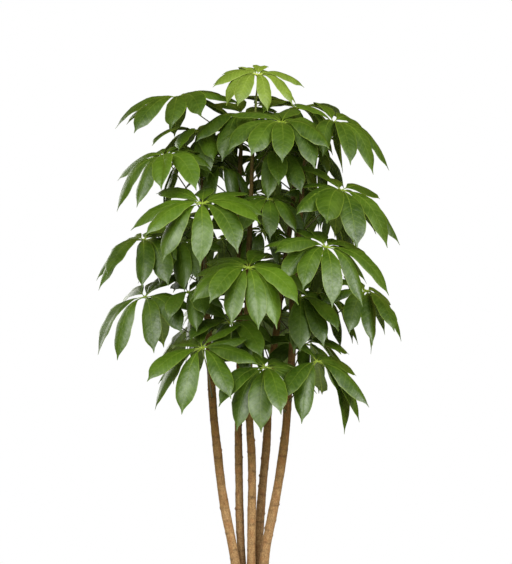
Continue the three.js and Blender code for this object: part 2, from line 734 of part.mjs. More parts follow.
const plant = new THREE.Group();
plant.add(named('pot', potGeometry(), potMaterial()));
plant.add(named('soil', soilGeometry(stems), soilMaterial()));
stems.forEach((stem, index) => {
  plant.add(named(`stem_${index + 1}`, stemGeometry(stem), barkMaterial()));
});
leaves.forEach((leaf, index) => {
  const number = String(index + 1).padStart(2, '0');
  plant.add(named(`leaf_${number}`, leafGeometry(leaf), leaf.young ? youngMaterial() : leafMaterial()));
});

export default plant;
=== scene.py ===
import math
import random
from itertools import product

import bmesh
import bpy
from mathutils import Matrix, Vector, kdtree, noise
from mathutils.bvhtree import BVHTree


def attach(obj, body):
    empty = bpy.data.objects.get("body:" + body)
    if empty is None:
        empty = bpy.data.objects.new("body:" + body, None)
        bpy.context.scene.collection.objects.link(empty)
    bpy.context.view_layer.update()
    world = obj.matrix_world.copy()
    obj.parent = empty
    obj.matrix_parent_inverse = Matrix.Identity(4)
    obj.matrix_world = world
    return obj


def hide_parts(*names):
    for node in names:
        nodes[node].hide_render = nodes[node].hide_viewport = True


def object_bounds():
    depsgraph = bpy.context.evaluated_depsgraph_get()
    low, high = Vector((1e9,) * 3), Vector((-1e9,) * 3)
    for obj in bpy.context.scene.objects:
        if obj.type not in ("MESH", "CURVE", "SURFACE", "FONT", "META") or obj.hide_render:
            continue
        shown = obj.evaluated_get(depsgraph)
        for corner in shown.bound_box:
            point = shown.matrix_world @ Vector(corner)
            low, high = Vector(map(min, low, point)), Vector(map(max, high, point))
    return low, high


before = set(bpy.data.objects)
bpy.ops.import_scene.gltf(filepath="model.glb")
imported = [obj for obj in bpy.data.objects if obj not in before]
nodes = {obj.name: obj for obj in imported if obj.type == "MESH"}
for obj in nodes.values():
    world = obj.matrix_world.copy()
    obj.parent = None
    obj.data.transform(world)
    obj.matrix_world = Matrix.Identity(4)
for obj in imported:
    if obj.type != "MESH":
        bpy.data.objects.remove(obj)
cadBox = [list(corner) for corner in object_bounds()]
print("frame loaded with", len(nodes), "nodes")


# small helpers

def deselectAll():
    for thing in bpy.context.selected_objects:
        thing.select_set(False)


def activate(*things):
    deselectAll()
    for thing in things:
        thing.select_set(True)
    bpy.context.view_layer.objects.active = things[0]


def joined(name, things):
    activate(*things)
    if len(things) > 1:
        bpy.ops.object.join()
    piece = bpy.context.object
    piece.name = name
    piece.data.name = name
    return piece


def applyModifier(piece, kind, **settings):
    activate(piece)
    modifier = piece.modifiers.new(kind.lower(), kind)
    for key, value in settings.items():
        setattr(modifier, key, value)
    bpy.ops.object.modifier_apply(modifier=modifier.name)


def closeAndFaceOut(piece, gap=1e-5):
    activate(piece)
    bpy.ops.object.mode_set(mode="EDIT")
    bpy.ops.mesh.select_all(action="SELECT")
    bpy.ops.mesh.remove_doubles(threshold=gap)
    bpy.ops.mesh.normals_make_consistent(inside=False)
    bpy.ops.mesh.select_all(action="DESELECT")
    bpy.ops.object.mode_set(mode="OBJECT")


def shadeSmooth(piece, angle=None):
    activate(piece)
    if angle is None:
        bpy.ops.object.shade_smooth()
    else:
        bpy.ops.object.shade_smooth_by_angle(angle=math.radians(angle))


def setAttribute(mesh, name, values):
    layer = mesh.attributes.get(name) or mesh.attributes.new(name, "FLOAT", "POINT")
    layer.data.foreach_set("value", values)


def smoothStep(low, high, value):
    part = min(max((value - low) / (high - low), 0.0), 1.0)
    return part * part * (3 - 2 * part)


def mixed(a, b, part):
    return a + (b - a) * part


def curveThrough(stops, points):
    # a smooth line through points at uneven stops: returns a function of the distance along
    slopes = []
    for i in range(len(points)):
        low, high = max(i - 1, 0), min(i + 1, len(points) - 1)
        slopes.append((points[high] - points[low]) / (stops[high] - stops[low]))

    def at(where):
        i = 0
        while i < len(stops) - 2 and where > stops[i + 1]:
            i += 1
        span = stops[i + 1] - stops[i]
        t = (where - stops[i]) / span
        h00, h10 = 2 * t ** 3 - 3 * t ** 2 + 1, t ** 3 - 2 * t ** 2 + t
        h01, h11 = 3 * t ** 2 - 2 * t ** 3, t ** 3 - t ** 2
        return (points[i] * h00 + slopes[i] * (h10 * span)
                + points[i + 1] * h01 + slopes[i + 1] * (h11 * span))
    return at


def distancesAlong(knots):
    stops = [0.0]
    for a, b in zip(knots, knots[1:]):
        stops.append(stops[-1] + (b - a).length)
    return stops


def headingOf(line, along, end=1.0, step=0.01):
    # the direction of a line at a place along it
    return (line(min(along + step, end)) - line(max(along - step, 0))).normalized()


def tubeFromLines(name, lines, sides):
    # each line is a list of (point, radius); all become one mesh of round capped tubes
    curve = bpy.data.curves.new(name, "CURVE")
    curve.dimensions = "3D"
    curve.bevel_depth = 1.0
    curve.bevel_resolution = (sides - 4) // 2
    curve.use_fill_caps = True
    for line in lines:
        spline = curve.splines.new("POLY")
        spline.points.add(len(line) - 1)
        for knot, (point, radius) in zip(spline.points, line):
            knot.co = (*point, 1)
            knot.radius = radius
    thing = bpy.data.objects.new(name, curve)
    bpy.context.collection.objects.link(thing)
    activate(thing)
    bpy.ops.object.convert(target="MESH")
    thing = bpy.context.object
    closeAndFaceOut(thing, gap=1e-6)
    return thing


# shader sums written as Python sums

class Paint:
    def __init__(self, tree, socket=None):
        self.tree = tree
        self.socket = socket

    def node(self, kind, settings=None, inputs=None, output=0):
        made = self.tree.nodes.new(kind)
        for name, value in (settings or {}).items():
            setattr(made, name, value)
        for name, value in (inputs or {}).items():
            target = made.inputs[name]
            if isinstance(value, Paint):
                self.tree.links.new(value.socket, target)
            else:
                target.default_value = value
        return Paint(self.tree, made.outputs[output])

    def sums(self, operation, *values):
        return self.node("ShaderNodeMath", {"operation": operation}, dict(enumerate(values)))

    def __add__(self, other):
        return self.sums("ADD", self, other)

    __radd__ = __add__

    def __sub__(self, other):
        return self.sums("SUBTRACT", self, other)

    def __rsub__(self, other):
        return self.sums("SUBTRACT", other, self)

    def __mul__(self, other):
        return self.sums("MULTIPLY", self, other)

    __rmul__ = __mul__

    def __abs__(self):
        return self.sums("ABSOLUTE", self)

    def step(self, low, high):
        return self.node("ShaderNodeMapRange", {"interpolation_type": "SMOOTHSTEP"},
                         {"Value": self, "From Min": low, "From Max": high})

    def between(self, colourA, colourB):
        # this value is the share of colourB: sockets 6 and 7 of a Mix node are its two colours
        sides = {6: colourA, 7: colourB}
        plain = {key: value if isinstance(value, Paint) else (*value, 1) for key, value in sides.items()}
        return self.node("ShaderNodeMix", {"data_type": "RGBA"}, {0: self, **plain}, output=2)

    def noise(self, coordinates, scale, detail=3.0, roughness=0.5):
        return self.node("ShaderNodeTexNoise", {}, {
            "Vector": coordinates, "Scale": scale, "Detail": detail, "Roughness": roughness})

    def stretched(self, coordinates, scale):
        return self.node("ShaderNodeMapping", {}, {"Vector": coordinates, "Scale": scale})

    def parts(self, vector):
        split = self.node("ShaderNodeSeparateXYZ", {}, {0: vector}).socket.node
        return [Paint(self.tree, split.outputs[i]) for i in range(3)]

    def attribute(self, name):
        return self.node("ShaderNodeAttribute", {"attribute_name": name}, output="Fac")

    def bump(self, height, strength, distance):
        return self.node("ShaderNodeBump", {}, {
            "Height": height, "Strength": strength, "Distance": distance})


def linear(red, green, blue):
    # a colour as seen on a screen, 0 to 255, turned into light
    shares = [part / 255 for part in (red, green, blue)]
    return tuple(((c + 0.055) / 1.055) ** 2.4 if c > 0.04045 else c / 12.92 for c in shares)


def newMaterial(name, **sockets):
    material = bpy.data.materials.new(name)
    material.use_nodes = True
    shader = material.node_tree.nodes["Principled BSDF"]
    for key, value in sockets.items():
        shader.inputs[key].default_value = value
    paint = Paint(material.node_tree)
    place = paint.node("ShaderNodeTexCoord", output="Object")

    def connect(**links):
        for key, value in links.items():
            material.node_tree.links.new(value.socket, shader.inputs[key.replace("_", " ")])
    return material, paint, place, connect


# the photograph's view, the light and the floor

photoView = {"distance": 4.6, "across": 0.015, "height": 1.108, "spanHigh": 1.692, "sensor": 36.0,
             "farthest": 60}
bpy.ops.object.camera_add(
    location=(photoView["across"], -photoView["distance"], photoView["height"]),
    rotation=(math.radians(90), 0, 0))
camera = bpy.context.object
camera.name = "photoCamera"
camera.data.sensor_width = photoView["sensor"]
camera.data.lens = photoView["sensor"] * photoView["distance"] / photoView["spanHigh"]
camera.data.clip_end = photoView["farthest"]
bpy.context.scene.camera = camera
bpy.context.scene.view_settings.view_transform = "Standard"

studio = {
    "backdrop": (1.0, 1.0, 1.0), "fill": (0.39, 0.39, 0.33), "gloss": (0.21, 0.23, 0.02),
    "key": {"place": (-2.0, -4.2, 3.5), "size": 4.4, "power": 350},
    "side": {"place": (3.2, -3.3, 2.9), "size": 3.6, "power": 295},
    "rear": {"place": (-3.0, 3.6, 1.9), "size": 3.2, "power": 78},
    "aim": (0, 0, 1.1),
    "floorRadius": 1.32, "floorSides": 128, "floorRoughness": 0.7, "floorClouds": 3,
    "floorDark": (0.80, 0.80, 0.79), "floorLight": (0.84, 0.84, 0.83),
}
world = bpy.data.worlds.new("whiteStudio")
world.use_nodes = True
bpy.context.scene.world = world
# the camera sees a white backdrop, gloss a darker one, and everything else gets the fill
sky = Paint(world.node_tree)
seen = sky.node("ShaderNodeLightPath", output="Is Camera Ray")
backdrop = world.node_tree.nodes["Background"]
mirrored = sky.node("ShaderNodeLightPath", output="Is Glossy Ray")
around = mirrored.between(studio["fill"], studio["gloss"])
world.node_tree.links.new(seen.between(around, studio["backdrop"]).socket, backdrop.inputs["Color"])


def addSoftLight(name, place, size, power):
    bpy.ops.object.light_add(type="AREA", location=place)
    light = bpy.context.object
    light.name = name
    light.data.shape = "DISK"
    light.data.size = size
    light.data.energy = power
    light.rotation_euler = (Vector(studio["aim"]) - Vector(place)).to_track_quat("-Z", "Y").to_euler()


for name in ("key", "side", "rear"):
    addSoftLight(name + "Light", **studio[name])

floorMaterial, paint, place, connect = newMaterial("paleFloor", Roughness=studio["floorRoughness"])
clouds = paint.noise(place, studio["floorClouds"])
connect(Base_Color=clouds.between(studio["floorDark"], studio["floorLight"]))
bpy.ops.mesh.primitive_circle_add(
    vertices=studio["floorSides"], radius=studio["floorRadius"], fill_type="NGON", location=(0, 0, 0))
floor = bpy.context.object
floor.name = "studioFloor"
floor.data.materials.append(floorMaterial)
print("camera, light and floor are set")


# the leaves' finishes: noise scales count per metre, and rises and sinks are in millimetres

leafFinish = {
    "patches": {"scale": 22, "detail": 5, "roughness": 0.62}, "underPatches": {"scale": 20},
    "swells": {"scale": 48}, "dimples": {"scale": 130}, "fine": {"scale": 420, "detail": 2},
    "veins": 11, "veinSlant": 1.25, "veinCurve": 0.35, "veinLag": 0.22,
    "veinBend": {"scale": 35}, "veinBent": 0.25, "veinEdge": (0.80, 0.97), "underVeinEdge": (0.82, 0.97),
    "veinFade": (0.75, 1.0), "veinFaded": 0.8, "ribFade": (0.05, 0.7), "ribFaded": 0.7,
    "ribEdge": (0.014, 0.05), "ribTaper": 0.012, "underRibEdge": (0.03, 0.09), "marginEdge": (0.80, 0.97),
    # shares of the pale rib colour, and of the fresh colour on the palest leaves
    "veinTint": 0.10, "ribTint": 0.42, "marginTint": 0.28, "freshTint": 0.18, "freshFrom": (0.55, 1.0),
    "underVeinTint": 0.4, "underRibTint": 0.6, "underShades": (0.86, 1.12),
    "patchShare": 1.1, "toneShare": 0.44, "darker": 0.29,
    "swellRise": 2.6, "dimpleRise": 0.7, "fineRise": 0.04, "veinSink": 0.22, "veinSunk": (0.2, 1.0),
    "ribSink": 0.3, "bumpDeep": 0.001, "underBump": 0.3, "gloss": 0.3, "underGloss": 0.35,
    "roughness": 0.34, "patchRough": 0.16, "fineRough": 0.08, "veinRough": 0.05,
    "underRoughness": 0.5, "underPatchRough": 0.1, "coatRoughness": 0.40,
    # the waxy coat: how patches and dimples make it up, where it is full, and its least share
    "waxPatches": 0.6, "waxDimples": 0.4, "waxEdge": (0.38, 0.60), "leastWax": 0.3,
}


def leafChart(paint):
    # u is across the leaflet, 0.5 on the midrib, and v runs from its stalk to its tip
    u, v, _ = paint.parts(paint.node("ShaderNodeUVMap", {"uv_map": "UVMap"}))
    across = (u - 0.5) * 2
    return across, abs(across), v


def sideVeins(paint, across, away, v, bend=0.0):
    # 1 along a side vein, 0 halfway to the next: they slant to the margin, out of step left and right
    finish = leafFinish
    phase = v * finish["veins"] - away * finish["veinSlant"] - away * away * finish["veinCurve"]
    phase = phase + bend + paint.sums("SIGN", across) * finish["veinLag"]
    return abs(paint.sums("FRACT", phase) - 0.5) * 2


def leafTopMaterial(name, dark, light, fresh, rib, sheen):
    finish = leafFinish
    material, paint, place, connect = newMaterial(
        name, **{"Coat Roughness": finish["coatRoughness"], "Specular IOR Level": finish["gloss"]})
    across, away, v = leafChart(paint)
    tone, margin = paint.attribute("tone"), paint.attribute("edge").step(*finish["marginEdge"])
    midrib = 1 - (away + v * finish["ribTaper"]).step(*finish["ribEdge"])
    ripple = sideVeins(paint, across, away, v, paint.noise(place, **finish["veinBend"]) * finish["veinBent"])
    vein = ripple.step(*finish["veinEdge"]) * (1 - away.step(*finish["veinFade"]) * finish["veinFaded"])
    patches = paint.noise(place, **finish["patches"])
    share = patches * finish["patchShare"] + tone * finish["toneShare"] - finish["darker"]
    body = share.between(dark, light)
    body = (tone.step(*finish["freshFrom"]) * finish["freshTint"]).between(body, fresh)
    body = (vein * finish["veinTint"]).between(body, rib)
    fading = 1 - v.step(*finish["ribFade"]) * finish["ribFaded"]
    body = (midrib * fading * finish["ribTint"]).between(body, rib)
    body = (margin * finish["marginTint"]).between(body, rib)
    fine = paint.noise(place, **finish["fine"])
    dimples = paint.noise(place, **finish["dimples"])
    swells = paint.noise(place, **finish["swells"])
    height = swells * finish["swellRise"] + dimples * finish["dimpleRise"]
    height = height - ripple.step(*finish["veinSunk"]) * finish["veinSink"] + fine * finish["fineRise"]
    height = height - midrib * finish["ribSink"]
    roughness = patches * finish["patchRough"] + fine * finish["fineRough"] + finish["roughness"]
    waxy = (patches * finish["waxPatches"] + dimples * finish["waxDimples"]).step(*finish["waxEdge"])
    wax = waxy * (1 - finish["leastWax"]) + finish["leastWax"]
    connect(Base_Color=body, Roughness=roughness + vein * finish["veinRough"], Coat_Weight=wax * sheen,
            Normal=paint.bump(height, 1.0, finish["bumpDeep"]))
    return material


def leafUnderMaterial(name, body, rib):
    finish = leafFinish
    material, paint, place, connect = newMaterial(name, **{"Specular IOR Level": finish["underGloss"]})
    across, away, v = leafChart(paint)
    midrib = 1 - away.step(*finish["underRibEdge"])
    vein = sideVeins(paint, across, away, v).step(*finish["underVeinEdge"])
    patches = paint.noise(place, **finish["underPatches"])
    dark, light = [tuple(c * shade for c in body) for shade in finish["underShades"]]
    ribbed = vein * finish["underVeinTint"] + midrib * finish["underRibTint"]
    connect(Base_Color=ribbed.between(patches.between(dark, light), rib),
            Roughness=patches * finish["underPatchRough"] + finish["underRoughness"],
            Normal=paint.bump(vein + midrib, finish["underBump"], finish["bumpDeep"]))
    return material


stalkFinish = {"speckle": {"scale": 240}, "aging": (0.02, 0.42), "speckled": 0.22, "fresher": 0.08,
               "roughness": 0.38, "roughened": 0.2, "bump": 0.15, "bumpDeep": 0.0006}


def stalkMaterial(name, fresh, old):
    # tone is 0 at the hub and 1 where the stalk leaves the wood
    finish = stalkFinish
    material, paint, place, connect = newMaterial(name)
    speckle = paint.noise(place, **finish["speckle"])
    share = paint.attribute("tone").step(*finish["aging"]) + speckle * finish["speckled"] - finish["fresher"]
    connect(Base_Color=share.between(fresh, old),
            Roughness=speckle * finish["roughened"] + finish["roughness"],
            Normal=paint.bump(speckle, finish["bump"], finish["bumpDeep"]))
    return material


leafShades = {
    "top": {"dark": linear(22, 45, 1), "light": linear(69, 95, 3), "fresh": linear(81, 115, 9),
            "rib": linear(134, 152, 48), "sheen": 0.8},
    "under": {"body": linear(84, 104, 30), "rib": linear(132, 148, 60)},
    "stalk": {"fresh": linear(122, 142, 40), "old": linear(62, 62, 20)},
}
youngShades = {
    "top": {"dark": linear(40, 60, 5), "light": linear(113, 134, 38), "fresh": linear(117, 138, 44),
            "rib": linear(176, 190, 96), "sheen": 0.5},
    "under": {"body": linear(112, 132, 50), "rib": linear(158, 174, 92)},
    "stalk": {"fresh": linear(158, 172, 70), "old": linear(96, 112, 40)},
}


def skinsFrom(name, shades):
    return (leafTopMaterial(name + "Upper", **shades["top"]),
            leafUnderMaterial(name + "Under", **shades["under"]),
            stalkMaterial(name + "Stalk", **shades["stalk"]))


leafSkins = skinsFrom("leaf", leafShades)
youngSkins = skinsFrom("young", youngShades)


# the finishes of bark, pot and soil

barkFinish = {
    "tan": (linear(98, 66, 34), linear(170, 138, 94)),
    # going up, the metres over which each next colour takes over, and its dark and light colour:
    # the brown is partly the wood's own colour and partly painted shade of the crown above it
    "upwards": [((0.34, 0.70), linear(62, 41, 11), linear(123, 93, 41)),
                # painted shade: the wood in the crown made darker where the leaves shade it
                ((0.80, 1.15), linear(42, 33, 6), linear(96, 78, 28)),
                # the young green wood's own colour
                ((1.46, 1.62), linear(84, 96, 34), linear(132, 140, 62))],
    "rust": linear(130, 82, 42), "speck": linear(72, 46, 24), "scar": linear(50, 29, 14),
    "rustTint": 0.36, "speckTint": 0.38, "scarTint": 0.9, "rustEnds": (0.7, 1.1),
    "long": {"scale": 190, "detail": 5, "roughness": 0.65}, "longStretch": (1, 1, 0.3),
    "rings": {"scale": 230, "detail": 3, "roughness": 0.6}, "ringStretch": (0.25, 0.25, 1),
    "mottle": {"scale": 260, "detail": 4, "roughness": 0.7}, "blotch": {"scale": 26, "detail": 4},
    "rusty": {"scale": 60}, "rustStretch": (1, 1, 0.6), "rustEdge": (0.46, 0.68),
    "specks": {"scale": 540, "detail": 2}, "speckEdge": (0.55, 0.68),
    "grainLong": 0.5, "grainMottle": 0.9, "grainDarker": 0.2, "grainEdge": (0.22, 0.78), "blotchy": 0.26,
    "longRise": 0.6, "mottleRise": 0.7, "ringsRise": 0.35, "speckRise": -0.4,
    "roughness": 0.66, "roughened": 0.2, "gloss": 0.25, "bump": 0.6, "bumpDeep": 0.0018,
}


def barkMaterial():
    # tan and cracked low down, darker brown in the crown with the leaves' shade painted on, green under the
    # youngest leaves
    finish = barkFinish
    material, paint, place, connect = newMaterial("trunkBark", **{"Specular IOR Level": finish["gloss"]})
    _, _, z = paint.parts(place)
    long = paint.noise(paint.stretched(place, finish["longStretch"]), **finish["long"])
    rings = paint.noise(paint.stretched(place, finish["ringStretch"]), **finish["rings"])
    mottle = paint.noise(place, **finish["mottle"])
    blotch = paint.noise(place, **finish["blotch"])
    rust = paint.noise(paint.stretched(place, finish["rustStretch"]), **finish["rusty"])
    rust = rust.step(*finish["rustEdge"])
    specks = paint.noise(place, **finish["specks"]).step(*finish["speckEdge"])
    grain = long * finish["grainLong"] + mottle * finish["grainMottle"] - finish["grainDarker"]
    grain = grain.step(*finish["grainEdge"])
    climbing = z + blotch * finish["blotchy"] - finish["blotchy"] / 2
    wood = grain.between(*finish["tan"])
    # each band going up is mixed over the last, and the crown's bands carry painted shade
    for heights, dark, light in finish["upwards"]:
        wood = climbing.step(*heights).between(wood, grain.between(dark, light))
    low = 1 - climbing.step(*finish["rustEnds"])
    wood = (rust * low * finish["rustTint"]).between(wood, finish["rust"])
    wood = (specks * finish["speckTint"]).between(wood, finish["speck"])
    wood = (paint.attribute("scar") * finish["scarTint"]).between(wood, finish["scar"])
    height = long * finish["longRise"] + mottle * finish["mottleRise"]
    height = height + rings * finish["ringsRise"] + specks * finish["speckRise"]
    connect(Base_Color=wood, Roughness=long * finish["roughened"] + finish["roughness"],
            Normal=paint.bump(height, finish["bump"], finish["bumpDeep"]))
    return material


potFinish = {"dark": linear(52, 54, 56), "dusty": linear(82, 82, 80), "dustHigh": 0.05, "footDust": 0.25,
             "cloudDust": 0.3, "cloud": {"scale": 7, "detail": 4}, "grain": {"scale": 700, "detail": 2},
             "roughness": 0.42, "cloudRough": 0.14, "grainRough": 0.1, "gloss": 0.4,
             "bump": 0.12, "bumpDeep": 0.0005}


def potMaterial():
    finish = potFinish
    material, paint, place, connect = newMaterial("potPlastic", **{"Specular IOR Level": finish["gloss"]})
    cloud = paint.noise(place, **finish["cloud"])
    grain = paint.noise(place, **finish["grain"])
    _, _, z = paint.parts(place)
    dust = (1 - z.step(0.0, finish["dustHigh"])) * finish["footDust"] + cloud * finish["cloudDust"]
    connect(Base_Color=dust.between(finish["dark"], finish["dusty"]),
            Roughness=cloud * finish["cloudRough"] + grain * finish["grainRough"] + finish["roughness"],
            Normal=paint.bump(grain, finish["bump"], finish["bumpDeep"]))
    return material


soilFinish = {"dark": linear(34, 24, 17), "light": linear(92, 68, 48), "darker": 0.15,
              "clumps": {"scale": 60, "detail": 5, "roughness": 0.65},
              "fine": {"scale": 420, "detail": 4, "roughness": 0.7},
              "clumpShare": 0.7, "fineShare": 0.5, "roughness": 0.84, "fineRough": 0.12, "gloss": 0.2,
              "bump": 0.7, "bumpDeep": 0.003}


def soilMaterial():
    finish = soilFinish
    material, paint, place, connect = newMaterial("pottingSoil", **{"Specular IOR Level": finish["gloss"]})
    clumps = paint.noise(place, **finish["clumps"])
    fine = paint.noise(place, **finish["fine"])
    share = clumps * finish["clumpShare"] + fine * finish["fineShare"] - finish["darker"]
    connect(Base_Color=share.between(finish["dark"], finish["light"]),
            Roughness=fine * finish["fineRough"] + finish["roughness"],
            Normal=paint.bump(clumps + fine, finish["bump"], finish["bumpDeep"]))
    return material


bark = barkMaterial()
potPlastic = potMaterial()
soilMix = soilMaterial()
print("materials are made")


# reading a leaf's lines back from its CAD solid

leafReading = {"merge": 2e-5, "tipClear": 0.012, "stalkClear": 0.014, "ringWide": 0.010,
               "ringCorners": 3, "widest": 1, "ringStops": [0.84, 0.62, 0.38, 0.16]}


def ringsBehind(tip, beside):
    # the rings of corners behind a leaflet's tip, or none where the corner isn't such a tip
    count = leafReading["ringCorners"]
    nearest = min(((v.co - tip.co).length for v in beside[tip]), default=0)
    if len(beside[tip]) != count or nearest < leafReading["tipClear"]:
        return []
    rings, passed = [beside[tip]], {tip} | beside[tip]
    while len(rings) < len(leafReading["ringStops"]):
        ring = set().union(*(beside[v] for v in rings[-1])) - passed
        if len(ring) != count:
            return []
        rings.append(ring)
        passed |= ring
    return rings


def readLeaflet(tip, rings):
    centres = []
    for index, ring in enumerate(rings[:-1]):
        # the blade's two edges are the corners that lie farthest apart, and the third is its ridge
        places = sorted((v.co.copy() for v in ring), key=tuple)
        pairs = [(places[a], places[b], places[3 - a - b]) for a, b in ((0, 1), (1, 2), (0, 2))]
        right, left, ridge = max(pairs, key=lambda pair: (pair[0] - pair[1]).length)
        centres.append((right + left) / 2)
        if index == leafReading["widest"]:
            half = (right - left).length / 2
            side, up = (right - left).normalized(), ridge - centres[-1]
    if side.cross(centres[0] - centres[2]).dot(up) < 0:
        side = -side
    # the last ring is the leaflet's own round stalk
    places = sorted((v.co.copy() for v in rings[-1]), key=tuple)
    centres.append(sum(places, Vector()) / len(places))
    return {"tip": tip.co.copy(), "centres": centres, "half": half, "side": side}


def hubOf(leaflets):
    # the hub is where the leaflets' lines meet, each carried on from its last three centres
    stops = leafReading["ringStops"][1:]
    guesses = []
    for leaflet in leaflets:
        guess = Vector()
        for i, centre in enumerate(leaflet["centres"][1:]):
            weight = 1.0
            for other in stops[:i] + stops[i + 1:]:
                weight *= other / (other - stops[i])
            guess += centre * weight
        guesses.append(guess)
    return sum(guesses, Vector()) / len(guesses)


def stalkKnots(corners, hub):
    # corners near each other are a ring round the stalk, and fewer than a ring's are left out
    groups = []
    for v in corners:
        if (v.co - hub).length < leafReading["stalkClear"]:
            continue
        for group in groups:
            if (v.co - sum(group, Vector()) / len(group)).length < leafReading["ringWide"]:
                group.append(v.co.copy())
                break
        else:
            groups.append([v.co.copy()])
    rings = [group for group in groups if len(group) >= leafReading["ringCorners"]]
    return sorted((sum(ring, Vector()) / len(ring) for ring in rings), key=lambda c: (c - hub).length)


def readLeaf(node):
    solid = bmesh.new()
    solid.from_mesh(nodes[node].data)
    bmesh.ops.remove_doubles(solid, verts=solid.verts, dist=leafReading["merge"])
    corners = list(solid.verts)
    beside = {v: {e.other_vert(v) for e in v.link_edges} for v in corners}
    leaflets, used = [], set()
    for tip in corners:
        rings = ringsBehind(tip, beside)
        if rings:
            used.update({tip}, *rings)
            leaflets.append(readLeaflet(tip, rings))
    hub = hubOf(leaflets)
    stalk = stalkKnots([v for v in corners if v not in used], hub)
    solid.free()
    return {"hub": hub, "leaflets": leaflets, "stalk": stalk}


# reading a trunk's line and thickness

trunkReading = {"ringGap": 0.015, "digits": 5}


def readTrunk(node):
    levels = sorted((v.co.copy() for v in nodes[node].data.vertices), key=lambda c: c.z)
    rings = [[levels[0]]]
    for corner in levels[1:]:
        if corner.z - rings[-1][-1].z > trunkReading["ringGap"]:
            rings.append([])
        rings[-1].append(corner)
    centres, radii = [], []
    for ring in rings:
        unique = {tuple(round(c, trunkReading["digits"]) for c in corner): corner for corner in ring}
        centres.append(sum(unique.values(), Vector()) / len(unique))
        # a cap's middle point is nearer than the rest, so it doesn't count
        radii.append(max((corner - centres[-1]).length for corner in unique.values()))
    return centres, radii


def woodAt(node):
    # the middle and the radius of a trunk at any height
    centres, radii = readTrunk(node)

    def at(z):
        i = 0
        while i < len(centres) - 2 and centres[i + 1].z < z:
            i += 1
        part = min(max((z - centres[i].z) / (centres[i + 1].z - centres[i].z), 0), 1)
        return centres[i].lerp(centres[i + 1], part), mixed(radii[i], radii[i + 1], part)
    return at


# the leaflets that the solids leave out: they fill the gaps of each ring where they have room

restPlan = {
    "step": 36,  # the leaflets of a ring stand about this many degrees apart
    # the leaves up to this one are in the photograph, and get leaflets only this far behind their hub
    "lastSeen": "leaf_25", "behind": 0.015,
    # what is tried in turn: shares of the leaf's usual length, degrees of droop, degrees to one side
    "lengths": (0.9, 0.76, 0.62), "droops": (26, 38, 14, 50), "turns": (0, 8, -8),
    "shape": 0.155, "rise": 30, "slopeShare": 0.55, "kneeShare": 0.45,
    "clear": 0.0085, "ownClear": 0.005, "ownFrom": 0.4, "woodClear": 0.006, "boxRoom": 0.004,
    # where a leaflet's and a stalk's distance to the others is tested
    "rows": (0.22, 0.32, 0.42, 0.52, 0.62, 0.72, 0.82, 0.92, 1.0), "columns": (-1, -0.5, 0, 0.5, 1),
    "bladeFrom": 0.16, "bladeLong": 0.88, "bladeBlunt": 0.7, "stalkSpots": 8,
}


def leafletLine(hub, leaflet):
    stops = [0, *reversed(leafReading["ringStops"]), 1]
    return curveThrough(stops, [hub, *reversed(leaflet["centres"]), leaflet["tip"]])


def leafletSpots(hub, leaflet):
    # points all over a leaflet, with how far along it they lie
    line = leafletLine(hub, leaflet)
    spots = []
    for along in restPlan["rows"]:
        part = min(max((along - restPlan["bladeFrom"]) / restPlan["bladeLong"], 0), 1)
        broad = leaflet["half"] * math.sin(math.pi * part) ** restPlan["bladeBlunt"]
        spots += [(line(along) + leaflet["side"] * (broad * column), along) for column in restPlan["columns"]]
    return spots


def allSpots(plans):
    # the spots of every leaflet and stalk, each with its leaf and how far along it lies
    points, owners = [], []
    for own, plan in plans.items():
        for leaflet in plan["leaflets"]:
            for spot, along in leafletSpots(plan["hub"], leaflet):
                points.append(spot)
                owners.append((own, along))
        steps = restPlan["stalkSpots"]
        for a, b in zip([plan["hub"], *plan["stalk"]], plan["stalk"]):
            points += [a.lerp(b, i / steps) for i in range(1, steps + 1)]
            owners += [(own, 0.0)] * steps
    return points, owners


def newLeaflet(hub, facing, away, droop, length):
    run = (away * math.cos(droop) - facing * math.sin(droop)) * length
    level = Vector((run.x, run.y, 0))
    start = math.atan2(run.z, level.length) * restPlan["slopeShare"] + math.radians(restPlan["rise"])
    knee = level.normalized() * math.cos(start) + Vector((0, 0, 1)) * math.sin(start)
    knee = knee * length * restPlan["kneeShare"]
    centres = [knee * (2 * t * (1 - t)) + run * (t * t) + hub for t in leafReading["ringStops"]]
    side = run.cross(facing).normalized()
    return {"tip": hub + run, "centres": centres, "half": length * restPlan["shape"], "side": side}


def isClear(spots, tree, owners, own, woods):
    low, high = cadBox
    room = restPlan["boxRoom"]
    for spot, along in spots:
        if not all(low[k] - room < spot[k] < high[k] + room for k in range(3)):
            return False
        for _, index, away in tree.find_range(spot, restPlan["clear"]):
            owner, ownAlong = owners[index]
            if owner != own or (away < restPlan["ownClear"] and min(along, ownAlong) > restPlan["ownFrom"]):
                return False
        for wood in woods:
            centre, radius = wood(spot.z)
            if (spot - centre).length < radius + restPlan["woodClear"]:
                return False
    return True


def ringOf(plan):
    # which way a leaf faces, two axes across its ring, its leaflets' usual length and the ring's gaps
    hub, leaflets = plan["hub"], plan["leaflets"]
    runs = [leaflet["tip"] - hub for leaflet in leaflets]
    faces = [leaflet["side"].cross(run).normalized() for leaflet, run in zip(leaflets, runs)]
    facing = sum(faces, Vector()).normalized()
    first = facing.orthogonal().normalized()
    second = facing.cross(first)
    size = sorted(run.length for run in runs)[len(runs) // 2]
    turns = sorted(math.degrees(math.atan2(run.dot(second), run.dot(first))) for run in runs)
    gaps = []
    for turn, after in zip(turns, turns[1:] + [turns[0] + 360]):
        missing = round((after - turn) / restPlan["step"]) - 1
        gaps += [turn + (after - turn) * i / (missing + 1) for i in range(1, missing + 1)]
    return facing, first, second, size, gaps


